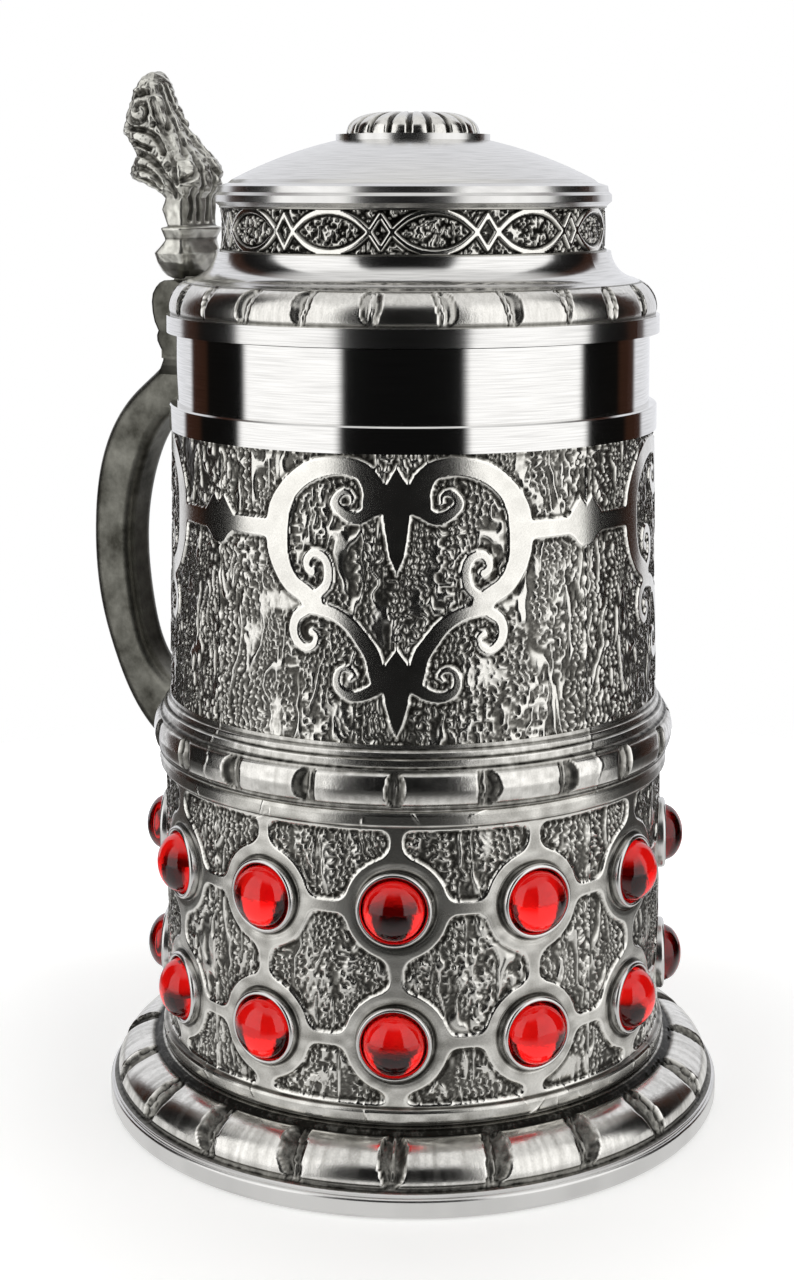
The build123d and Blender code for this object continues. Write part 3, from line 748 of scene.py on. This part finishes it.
# %% [markdown]
# ## Gadroons: the foot, the middle band and the lid's ring
# Three rings are divided into short staves. Between two staves lies a scooped hollow like a letter D, with a
# thin ridge standing in it, and the flat side of the D is the crisp end of a stave. Within a quarter the D's
# back turns away from the middle of the motif. One function carves all three rings, because only the sizes
# differ: v runs from 0 at the stave's lower edge to 1 at its upper edge.
# %% Carve staves
def staves(places, v, count, first_deg, size):
    """Depth (negative, mm) and rub of a ring of staves; size holds the hollow's width, depth and so on."""
    radius, angle = polar(places)
    pitch = 360.0 / count
    turn = wrap_deg(angle - first_deg)
    groove = np.round(turn / pitch)
    aside = np.radians(turn - groove * pitch) * radius
    quarter_turn = (turn + 45.0) % 90.0 - 45.0
    side = np.sign(np.round(quarter_turn / pitch))
    aside = np.where(side == 0, aside, aside * side)
    lean = size["lean"] * (v - 0.5) * np.where(side == 0, 0.0, 1.0)
    wobble = 0.1 * size["width"] * (lattice(places[:, 2] + 7 * groove, radius, 1.4, 1.4, 5) - 0.5)
    x = aside - lean + wobble
    bulge = np.sqrt(np.clip(1.0 - (2.0 * v - 1.0) ** 2, 0.0, 1.0))
    outer = size["width"] * (0.1 + 0.62 * bulge) * np.where(side == 0, size["middle"], 1.0)
    inner = np.where(side == 0, -outer, -0.3 * size["width"])
    in_d = np.minimum(outer - x, x - inner)
    ends = np.minimum(v, 1.0 - v)
    hollow = ease(0.0, 0.42 * size["width"], in_d) ** 0.7 * ease(0.0, 0.12, ends)
    flat_side = ease(0.0, 0.25, np.minimum(x - inner, 1.0)) * (in_d > 0)
    wall = flat_side * ease(0.5 * size["width"], 0.0, x - inner) * ease(0.02, 0.14, ends)
    hollow = np.maximum(hollow, 0.75 * wall)
    ridge = ease(0.34, 0.0, np.abs(x + 0.02 * size["width"])) * (in_d > 0.2)
    depth = -size["depth"] * hollow + size["depth"] * 0.75 * ridge * hollow
    rim = ease(-0.5, -0.05, in_d) * (in_d < 0)
    rub = 0.86 - size["patina"] * ease(0.05, 0.4, hollow) + 0.5 * ridge + 0.2 * rim
    rub = rub - 0.5 * line_at(in_d, 0.15, 0.3, 0.05)
    edge = ease(0.1, 0.0, ends)
    return depth - 0.3 * size["depth"] * edge, np.clip(rub - 0.7 * edge, 0.0, 1.0)


def cast_ring(name, body, outer, inner, cell, size, v_of, first_deg, count, extra):
    """A full ring with staves, carved along its own surface."""
    widest = max(r for r, z in outer)
    bm = spin_outline(outer, inner, int(2 * math.pi * widest / cell), cell)
    piece = finish_piece(bm, f"{name}_casting", body, rubbed_pewter, [name])
    places, normals = read_places(piece.data), read_rows(piece.data, "normal")
    radius, angle = polar(places)
    v = v_of(radius, places[:, 2])
    carved = (v > 0.0) & (v < 1.0)
    depth, rub = staves(places, np.clip(v, 0.0, 1.0), count, first_deg, size)
    depth, rub = np.where(carved, depth, 0.0), np.where(carved, rub, 0.62)
    depth, rub = extra(places, radius, angle, v, depth, rub)
    write_relief(piece.data, places + normals * depth[:, None], rub)
    return piece


def curved(points, parts=4):
    """A smooth (radius, height) line through the points."""
    return [(r, z) for r, z, _ in rounded([(r, z, 0.0) for r, z in points], parts)]


print("stave carving ready")

# %% The middle band
BAND_OUTLINE = [
    (51.7, 73.0), (52.3, 73.1), (52.5, 73.5),
    *curved([(52.3, 73.75), (53.1, 75.0), (53.5, 77.2), (53.1, 79.4), (52.3, 80.65)]),
    (52.2, 80.9), (51.6, 81.2), (51.45, 81.7), (51.4, 82.4), (51.1, 82.6), (50.75, 82.7), (50.65, 83.4),
    (50.55, 83.7), (50.2, 83.9), (50.1, 84.2), (50.1, 85.0),
]
STAVE_BOTTOM, STAVE_TOP = 73.75, 80.65
BAND_DARK_LINES = [(80.95, 0.35), (82.75, 0.3), (84.1, 0.3), (73.5, 0.3)]
BAND_BRIGHT_LINES = [(82.35, 0.3), (83.6, 0.25)]


def band_extra(places, radius, angle, v, depth, rub):
    """Dark lines above and below the staves, bright mouldings, and the wavy mould seams."""
    z = places[:, 2]
    rub = np.where(v >= 1.0, 0.66, rub)
    dark = sum(line_at(z, level, reach, 0.05) for level, reach in BAND_DARK_LINES)
    bright = sum(line_at(z, level, reach) for level, reach in BAND_BRIGHT_LINES)
    off_seam = (angle - QUARTERS_DEG[0] + 45.0 + 0.5 * np.sin(z * 1.1)) % 90.0
    off_seam = np.minimum(off_seam, 90.0 - off_seam)
    seam = ease(0.32, 0.05, off_seam) * (radius > 50.0)
    mottle = lattice(angle * 0.9, z, 1.1, 0.9, 40) - 0.5
    rub = np.clip(rub - 0.6 * dark + 0.3 * bright + 0.3 * mottle, 0.0, 1.0)
    return depth + 0.15 * seam, np.clip(rub + 0.3 * seam, 0.0, 1.0)


cast_ring(
    "mid_band", "tankard", BAND_OUTLINE, [(CUP_BORE, 85.0), (CUP_BORE, 73.0)], 0.38,
    {"width": 4.4, "depth": 1.1, "lean": 0.0, "middle": 0.62, "patina": 0.62},
    lambda radius, z: (z - STAVE_BOTTOM) / (STAVE_TOP - STAVE_BOTTOM), QUARTERS_DEG[0], 20, band_extra,
)

# %% The foot
FOOT_OUTLINE = [
    (62.4, 0.0), (63.0, 0.15), (63.3, 0.8), (63.3, 3.4), (63.05, 3.75), (62.75, 3.8), (62.75, 4.3),
    (62.5, 4.5),
    *curved([(61.7, 4.7), (61.6, 6.3), (60.9, 8.2), (59.3, 9.9), (56.7, 11.3), (53.7, 12.0)]),
    (52.6, 12.3), (52.0, 12.5),
]
RIM_TOP = 4.6


def foot_v(radius, z):
    """0 at the lower edge of a foot stave, 1 at its upper edge."""
    turn = np.degrees(np.arctan2(z - 4.7, radius - 53.7))
    return np.where((radius > 52.5) & (z > RIM_TOP), turn / 90.0, -1.0)


def foot_extra(places, radius, angle, v, depth, rub):
    """The plain rim below the staves, brighter, and the shadow line against the drum."""
    z = places[:, 2]
    rim = (z < RIM_TOP) & (radius > 55.0)
    line = line_at(z, RIM_TOP, 0.35, 0.05) * (radius > 60.0)
    mottle = lattice(angle * 1.05, z + radius, 0.8, 5.0, 50) - 0.5
    rub = np.where(rim, 0.8, rub + 0.36 * mottle * ease(0.3, 0.6, rub))
    inner_shade = ease(0.86, 1.0, v)
    return depth, np.clip(rub - 0.6 * line - 0.7 * inner_shade, 0.0, 1.0)


foot = cast_ring(
    "foot_ring", "tankard", FOOT_OUTLINE,
    [(LOWER_BORE, 12.5), (LOWER_BORE, 9.5), (50.0, 9.5), (50.0, 0.0)], 0.42,
    {"width": 5.0, "depth": 1.5, "lean": 1.0, "middle": 0.75, "patina": 0.7},
    foot_v, QUARTERS_DEG[0], 20, foot_extra,
)
foot.data.materials.append(dome_pewter)
for polygon in foot.data.polygons:
    polygon.material_index = int(polygon.center.z < 4.4 * MM)

# %% The lid's ring
RING_OUTLINE = [
    (49.3, 161.8), *curved([(49.4, 162.1), (49.45, 164.0), (48.9, 165.8), (47.8, 167.4), (46.3, 168.5)]),
]


def ring_v(radius, z):
    """0 at the lower edge of a lid stave, 1 at its upper edge."""
    turn = np.degrees(np.arctan2(z - 161.9, (radius - 46.2) * 2.05))
    return np.where(radius > 46.25, turn / 90.0, -1.0)


def ring_extra(places, radius, angle, v, depth, rub):
    """A slot in the ring for the hinge tongue."""
    slot = (places[:, 0] < 0) & (np.abs(places[:, 1]) < 3.3) & (radius > 46.2)
    return np.where(slot, -(radius - 46.2), depth), rub


cast_ring(
    "lid_lobe_ring", "lid", RING_OUTLINE, [(46.05, 168.5), (46.05, 161.8)], 0.36,
    {"width": 3.7, "depth": 0.85, "lean": -1.6, "middle": 0.8, "patina": 0.25}, ring_v, -68.5, 24, ring_extra,
)

# %% [markdown]
# ## The frieze
# Round the lid's neck runs a low frieze: twelve pointed ovals, whose bands cross between them and close into
# small diamonds, on a blackened ground of fine dots. One band, drawn as a folded stroke, makes ovals and
# diamonds alike.
# %% Frieze
FRIEZE_WALL = 39.2
FRIEZE_MIDDLE = 179.0
FIRST_OVAL_DEG = -53.5
OVAL_BAND = [(0.0, 3.9, 0.5), (2.5, 3.6, 0.5), (5.0, 2.6, 0.48), (6.9, 1.15, 0.46), (8.1, 0.0, 0.42)]
DIAMOND_BAND = [(8.1, 0.0, 0.42), (10.27, 3.2, 0.4)]
FRIEZE_OUTLINE = [
    (FRIEZE_WALL, 174.5), (FRIEZE_WALL, 174.8), (38.95, 174.95), (38.95, 183.05), (FRIEZE_WALL, 183.2),
    (FRIEZE_WALL, 183.5),
]

bm = spin_outline(FRIEZE_OUTLINE, [(37.2, 183.5), (37.2, 174.5)], 1150, 0.2)
frieze = finish_piece(bm, "lid_frieze_band", "lid", frieze_pewter, ["lid_frieze"])
places = read_places(frieze.data)
radius, angle = polar(places)
turn = wrap_deg(angle - FIRST_OVAL_DEG)
aside = np.abs(np.radians(turn - 30.0 * np.round(turn / 30.0))) * FRIEZE_WALL
level = np.abs(places[:, 2] - FRIEZE_MIDDLE)
band = [inside_stroke(aside, level, line) for line in (rounded(OVAL_BAND), np.array(DIAMOND_BAND))]
band = np.maximum(*band)
raised = ease(-0.2, 0.05, band)
fine = lattice(turn * 0.68, places[:, 2], 0.45, 0.55, 70)
coarse = lattice(turn * 0.68, places[:, 2], 0.8, 0.8, 71)
dots = ease(0.38, 0.66, fine * 0.7 + coarse * 0.3)
clear = ease(-0.45, -0.75, band)
skin = (radius > 38.5) & (level < 4.1)
height = -0.6 + np.maximum(0.6 * raised, 0.42 * dots * clear)
rub = np.maximum(raised, 0.85 * dots * clear)
places[:, :2] *= (1.0 + np.where(skin, height, 0.0) / radius)[:, None]
write_relief(frieze.data, places, np.where(skin, rub, np.where(level < 4.3, 0.2, 0.6)))

# %% [markdown]
# ## The rosette
# The lid ends in a low button with twenty petals that part at dark creases. It is spun from the axis out,
# and the creases are carved where the turn falls between two petals.
# %% Rosette
BUTTON_BOTTOM = 197.8
ROSETTE_OUTLINE = [
    (13.6, BUTTON_BOTTOM),
    *curved([(13.55, 198.3), (12.9, 199.9), (11.2, 201.2), (8.4, 202.05), (4.6, 202.4)]),
    (0.0, 202.4),
]
PETAL_DEG = 18.0

bm = spin_outline(ROSETTE_OUTLINE, [(0.0, BUTTON_BOTTOM)], 360, 0.3)
rosette = finish_piece(bm, "lid_rosette_button", "lid", rubbed_pewter, ["lid_rosette"])
places, normals = read_places(rosette.data), read_rows(rosette.data, "normal")
radius, angle = polar(places)
turn = wrap_deg(angle - QUARTERS_DEG[0])
petal = turn / PETAL_DEG - np.round(turn / PETAL_DEG)
gap = np.abs(petal) * math.radians(PETAL_DEG) * radius
above = places[:, 2] > BUTTON_BOTTOM + 0.1
crease = ease(0.75, 0.15, gap) * ease(2.2, 4.5, radius) * above
crown = 0.18 * np.cos(np.pi * (np.abs(petal) - 0.5)) * ease(3.0, 7.0, radius) * above
swell = (-0.75 * crease + crown - 0.18) * (places[:, 2] > BUTTON_BOTTOM + 0.05)
write_relief(rosette.data, places + normals * swell[:, None], np.clip(0.9 - 0.95 * crease, 0, 1))

# %% [markdown]
# ## Stones and their settings
# Each stone is a red glass cabochon, a low dome on a flat back, held in a turned setting like a small ring.
# Silver foil behind the glass sends the light back through it, which makes cheap glass glow like a gem.
# Stone and setting are each spun about their own axis and then laid against the drum, one pair for each of
# the 24 places.
# %% Red pressed glass
clear_glass = {"Transmission Weight": 1.0, "IOR": 1.52, "Roughness": 0.0}
red_glass, add, shader, place = new_material("red_pressed_glass", clear_glass)
swirl = add("TexNoise", {"Vector": place, "Scale": 1 / (6 * MM), "Detail": 2.0})
tint = add("ValToRGB", {"Fac": swirl})
set_stops(tint, [(0.3, linear("#fa0b10")), (0.7, linear("#ff221a"))])
fill(shader, {"Base Color": tint})
foil = clouded_pewter("silver_backing_foil", "#e6dcda", "#ffffff", 3.0, 0.04, 0.12)
print("glass and the foil behind it")

# %% Place stones and settings
STONE_DOME = curved([(6.0, 0.5), (5.7, 1.8), (4.9, 3.3), (3.5, 4.4), (1.8, 5.05), (0.0, 5.25)])
STONE_BACK = 50.8
SETTING_OUTLINE = [
    (7.15, -0.9), (7.2, 0.4), (7.1, 0.85), (6.85, 1.1), (6.55, 1.15), (6.3, 0.95), (6.15, 0.4), (6.15, -0.9),
]


def against_drum(bm, row, turn_deg, radius_mm):
    """Lays a bmesh that stands on its own axis against the drum, facing outwards at that height and turn."""
    turn_about(bm, 90.0, "Y")
    bmesh.ops.translate(bm, verts=bm.verts, vec=(radius_mm * MM, 0, row * MM))
    turn_about(bm, turn_deg, "Z")


def stone_turn(node_name):
    """The turn about the tankard's axis at which a packed stone sits."""
    low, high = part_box(node_name)
    middle = (low + high) / 2
    return math.degrees(math.atan2(middle.y, middle.x))


for row_name, row in zip(("lower", "upper"), STONE_ROWS):
    settings = bmesh.new()
    for number in range(1, 13):
        node_name = f"stone_{row_name}_{number:02d}"
        turn_deg = stone_turn(node_name)
        stone = spin_outline([(6.0, 0.0), *STONE_DOME], [(0.0, 0.0)], 48, 0.7)
        against_drum(stone, row, turn_deg, STONE_BACK)
        stone = finish_piece(stone, f"{node_name}_glass", "tankard", red_glass, [node_name])
        stone.data.materials.append(foil)
        outwards = Vector((math.cos(math.radians(turn_deg)), math.sin(math.radians(turn_deg)), 0.0))
        for polygon in stone.data.polygons:
            polygon.material_index = int(polygon.normal.dot(outwards) < -0.9)
        ring = spin_outline(curved(SETTING_OUTLINE, 2), [], 64, 5.0)
        against_drum(ring, row, turn_deg, LOWER_WALL)
        passing = bpy.data.meshes.new("passing")
        ring.to_mesh(passing)
        ring.free()
        settings.from_mesh(passing)
        bpy.data.meshes.remove(passing)
    cups = f"bezels_{row_name}"
    finish_piece(settings, f"{cups}_rings", "tankard", dome_pewter, [cups])

# %% [markdown]
# ## The thumb lift
# A cast acanthus leaf stands on a moulded neck over the hinge, and the thumb presses it back to open the
# lid. Its cross-section is a rounded block all the way up, only its reach changes, so a grid is wrapped into
# a tube through a short list of sections. Grooves, veins, the curl and its eye are then strokes pressed into
# the sides and front.
# %% Thumb lift sections, (height, back, front, half-width) in millimetres
LIFT_SECTIONS = [
    (167.45, -59.2, -54.8, 3.0), (168.1, -60.7, -54.2, 3.6), (169.2, -61.3, -53.3, 4.8),
    (171.0, -61.7, -52.5, 6.3), (173.0, -62.0, -51.8, 7.2), (174.4, -60.4, -52.0, 7.0),
    (175.8, -58.9, -52.5, 6.7), (176.2, -58.9, -52.5, 6.8), (178.1, -59.5, -51.7, 7.7),
    (178.5, -59.5, -51.7, 7.7), (178.8, -58.3, -52.6, 6.4), (180.6, -59.3, -52.6, 6.3),
    (182.4, -60.0, -52.4, 6.5), (184.8, -58.8, -52.5, 6.5), (186.2, -60.2, -51.5, 7.2),
    (187.4, -63.2, -50.9, 7.9), (188.8, -67.2, -50.8, 8.3), (190.0, -68.1, -51.0, 8.5),
    (191.6, -67.0, -51.3, 8.4), (193.4, -66.4, -52.6, 7.8), (195.2, -67.3, -54.5, 7.0),
    (197.4, -69.6, -56.4, 6.4), (199.3, -70.8, -57.8, 6.1), (201.2, -70.0, -58.9, 5.9),
    (203.0, -69.9, -60.0, 5.6), (206.0, -69.1, -61.5, 5.1), (208.6, -67.9, -62.5, 4.5),
    (210.4, -66.8, -63.2, 3.7), (211.6, -65.6, -63.8, 2.6), (212.2, -64.7, -64.2, 1.2),
]
LIFT_GROOVES = [
    [(-62.6, 207.6, 0.3), (-65.0, 207.5, 0.5), (-67.6, 206.4, 0.45), (-68.6, 204.0, 0.45),
     (-67.6, 201.7, 0.45), (-65.2, 201.0, 0.45), (-63.5, 202.4, 0.4), (-63.7, 204.5, 0.35),
     (-65.3, 205.1, 0.35), (-66.2, 204.0, 0.55)],
    [(-71.0, 201.4, 0.5), (-67.5, 199.9, 0.4), (-63.6, 199.3, 0.4), (-60.3, 197.8, 0.5),
     (-57.6, 194.6, 0.5)],
    [(-67.5, 194.4, 0.9), (-64.0, 194.4, 0.5), (-60.6, 193.2, 0.5), (-57.6, 190.9, 0.5),
     (-55.4, 187.8, 0.5), (-54.4, 184.6, 0.4)],
    [(-69.4, 196.7, 0.35), (-65.4, 196.5, 0.3), (-61.4, 195.3, 0.25)],
    [(-66.4, 191.0, 0.5), (-62.9, 191.3, 0.45), (-59.8, 189.9, 0.35), (-57.6, 187.6, 0.3)],
    [(-64.2, 188.5, 0.4), (-61.0, 188.2, 0.35), (-58.5, 186.4, 0.3)],
    [(-62.2, 205.6, 0.3), (-60.3, 201.4, 0.4), (-57.0, 197.0, 0.45), (-54.6, 192.8, 0.5),
     (-53.9, 188.0, 0.4)],
]
LIFT_PITS = [
    (-57.6, 199.4, 0.6), (-68.9, 197.9, 0.55), (-61.2, 200.6, 0.5), (-55.6, 191.4, 0.7), (-55.4, 188.2, 0.6),
    (-66.9, 190.0, 0.5),
]
FRONT_GROOVES = [
    [(1.0, 209.0, 0.3), (1.3, 203.0, 0.35), (1.7, 197.0, 0.4), (2.1, 190.5, 0.5), (1.9, 186.0, 0.4),
     (1.5, 180.0, 0.4)],
    [(1.9, 203.4, 0.3), (3.4, 200.6, 0.35), (5.6, 199.2, 0.3)],
    [(2.1, 198.2, 0.35), (3.9, 195.0, 0.4), (6.4, 193.4, 0.3)],
    [(2.4, 193.4, 0.4), (4.2, 190.0, 0.5), (7.4, 188.6, 0.35)],
    [(4.6, 186.6, 0.4), (4.0, 183.4, 0.4), (4.4, 180.2, 0.35)],
]


def pressed(across, up, strokes, pits=()):
    """How deep, 0 to 1, the grooves and pits are at each place of one face of the leaf."""
    inside = np.full(across.shape, OUTSIDE)
    for stroke in strokes:
        inside = np.maximum(inside, inside_stroke(across, up, rounded(stroke)))
    for x, z, size in pits:
        inside = np.maximum(inside, size - np.hypot(across - x, up - z))
    return ease(-0.55, 0.3, inside)


def tube_of_grid(around, along, shape):
    """A closed solid: a grid wrapped to a tube by shape(share around, share along), its ends filled."""
    bm = bmesh.new()
    bmesh.ops.create_grid(bm, x_segments=around, y_segments=along, size=0.5)
    shares = np.array([(v.co.x + 0.5, v.co.y + 0.5) for v in bm.verts])
    for vert, place in zip(bm.verts, shape(shares[:, 0], shares[:, 1])):
        vert.co = place * MM
    bmesh.ops.remove_doubles(bm, verts=bm.verts, dist=0.003 * MM)
    bmesh.ops.holes_fill(bm, edges=[e for e in bm.edges if e.is_boundary], sides=0)
    bmesh.ops.recalc_face_normals(bm, faces=bm.faces)
    return bm


def square_turn(share):
    """A walk round the unit square, from the middle of its +x side, as two coordinates from -1 to 1."""
    walk = (share * 8.0 + 1.0) % 8.0
    side, along = np.floor(walk / 2.0).astype(int), walk % 2.0 - 1.0
    one = np.ones_like(along)
    return np.choose(side, [one, -along, -one, along]), np.choose(side, [along, one, -along, -one])


def block_shape(sections, share, rise, middle_y=0.0, soft=0.2):
    """Places on the skin of a block that runs up through sections; soft rounds its long corners."""
    height, back, front, half = np.array(sections).T
    z = height[0] + (height[-1] - height[0]) * rise
    a, b = square_turn(share)
    low, high, wide = np.interp(z, height, back), np.interp(z, height, front), np.interp(z, height, half)
    x = (low + high) / 2 + (high - low) / 2 * a * (1.0 - soft * np.abs(b) ** 7)
    y = middle_y + wide * b * (1.0 - 0.7 * soft * np.abs(a) ** 7)
    return np.column_stack([x, y, z])


bm = tube_of_grid(200, 230, lambda share, rise: block_shape(LIFT_SECTIONS, share, rise))
lift = finish_piece(bm, "thumb_lift_leaf", "lid", leaf_pewter, ["thumb_lift"], 80.0)
places, normals = read_places(lift.data), read_rows(lift.data, "normal")
x, y, z = places.T
leaf = ease(184.0, 186.0, z)
on_side, on_front = ease(0.45, 0.8, np.abs(normals[:, 1])), ease(0.4, 0.75, normals[:, 0])
side_cut = pressed(x, z, LIFT_GROOVES, LIFT_PITS) * on_side * leaf
front_cut = pressed(np.abs(y), z, FRONT_GROOVES) * on_front * ease(178.8, 179.6, z)
cut = np.maximum(side_cut, front_cut)
coarse, fine = lattice(x + 0.7 * y, z + 0.3 * y, 1.3, 1.3, 81), lattice(x - 0.6 * y, z, 0.7, 0.7, 82)
crumbs = coarse * 0.6 + fine * 0.4 - 0.5
depth = -1.05 * cut + 0.7 * crumbs * leaf + 0.12 * crumbs
shade = 0.84 + 0.7 * crumbs - 0.66 * cut
neck_dark = line_at(z, 176.1, 0.45) + line_at(z, 178.9, 0.4)
neck_dark = neck_dark + 0.5 * ease(178.0, 176.4, z) * ease(176.0, 176.3, z)
write_relief(lift.data, places + normals * depth[:, None], np.clip(shade - 0.5 * neck_dark, 0.0, 1.0))

# %% [markdown]
# ## The hinge cheeks
# Below the lift the handle ends in two cheeks that hold the pin, one on each side of the lid's knuckle. They
# swell like barrels over the pin, pinch to a crease, swell again to a small bead and run down a hollow neck
# into the grip. The block function that made the lift makes them too, from their own short lists of
# sections.
# %% Hinge cheeks and neck, (height, back, front, half-width) in millimetres
CHEEK_SECTIONS = [
    (156.3, -59.3, -52.6, 2.1), (157.0, -59.7, -52.4, 2.1), (158.4, -60.4, -52.2, 2.15),
    (160.4, -60.9, -51.8, 2.15), (162.6, -61.1, -51.5, 2.15), (164.4, -60.8, -51.8, 2.15),
    (165.8, -59.9, -52.7, 2.1), (166.7, -58.9, -53.6, 2.1), (167.25, -57.7, -54.8, 2.0),
]
NECK_SECTIONS = [
    (146.3, -62.4, -50.6, 4.1), (147.4, -61.2, -50.4, 5.2), (148.8, -59.6, -50.2, 6.5),
    (150.2, -58.6, -50.0, 7.1), (151.4, -58.7, -50.0, 7.4), (152.2, -58.8, -50.0, 7.4),
    (152.9, -59.2, -50.0, 7.45), (154.2, -59.9, -50.0, 7.45), (155.4, -60.0, -50.0, 7.45),
    (156.2, -59.7, -50.4, 7.4), (156.7, -59.4, -50.8, 7.4),
]
CHEEK_MIDDLE = 5.4
HINGE_BLOCKS = [
    ("hinge_cheek_near", CHEEK_SECTIONS, 64, -CHEEK_MIDDLE),
    ("hinge_cheek_far", CHEEK_SECTIONS, 64, CHEEK_MIDDLE),
    ("hinge_neck_cover", NECK_SECTIONS, 96, 0.0),
]

for name, sections, around, middle in HINGE_BLOCKS:
    bm = tube_of_grid(around, 60, lambda share, rise: block_shape(sections, share, rise, middle, 0.04))
    finish_piece(bm, name, "tankard", handle_pewter, sharp_deg=70.0)

# %% [markdown]
# ## The lid's knuckle
# Between the cheeks the lid has its own knuckle on the pin. A short web carries the lift, and a flat tongue
# runs into the slot of the lid's ring, so that lid and lift turn together. One outline is filled and pulled
# to its width.
# %% Lid knuckle, in millimetres
PIN_PLACE = (-56.6, 162.5)
KNUCKLE_RADIUS = 4.2
KNUCKLE_HALF = 3.0
KNUCKLE_TURN = np.radians(np.linspace(-9.0, -236.0, 48))
TONGUE_CORNERS = [(-57.9, 168.0), (-52.6, 168.0), (-50.0, 167.4), (-46.4, 167.4), (-46.4, 161.8)]

bm = bmesh.new()
knuckle = np.column_stack([np.cos(KNUCKLE_TURN), np.sin(KNUCKLE_TURN)]) * KNUCKLE_RADIUS + PIN_PLACE
corners = [(x * MM, -KNUCKLE_HALF * MM, z * MM) for x, z in [*knuckle, *TONGUE_CORNERS]]
side_face = bm.faces.new([bm.verts.new(corner) for corner in corners])
pulled = bmesh.ops.extrude_face_region(bm, geom=[side_face])["geom"]
far_side = [part for part in pulled if isinstance(part, bmesh.types.BMVert)]
bmesh.ops.translate(bm, vec=(0.0, 2 * KNUCKLE_HALF * MM, 0.0), verts=far_side)
bmesh.ops.recalc_face_normals(bm, faces=bm.faces)
finish_piece(bm, "lid_knuckle_and_tongue", "lid", handle_pewter, ["thumb_lift"], 50.0)

# %% [markdown]
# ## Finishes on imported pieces
# The collar, the lid's shoulder and dome, the handle, the pin and the base plate already have their true
# shape, so they only take a finish.
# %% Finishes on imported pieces
CAD_FINISHES = {
    "base_plate": base_pewter,
    "hinge_pin": steel,
    "handle": handle_pewter,
    "rim_collar": collar_pewter,
    "lid_base": lid_pewter,
    "lid_dome": dome_pewter,
}
for node_name, finish in CAD_FINISHES.items():
    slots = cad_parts[node_name].data.materials
    slots.clear()
    slots.append(finish)
print("finishes on", len(CAD_FINISHES), "packed pieces")
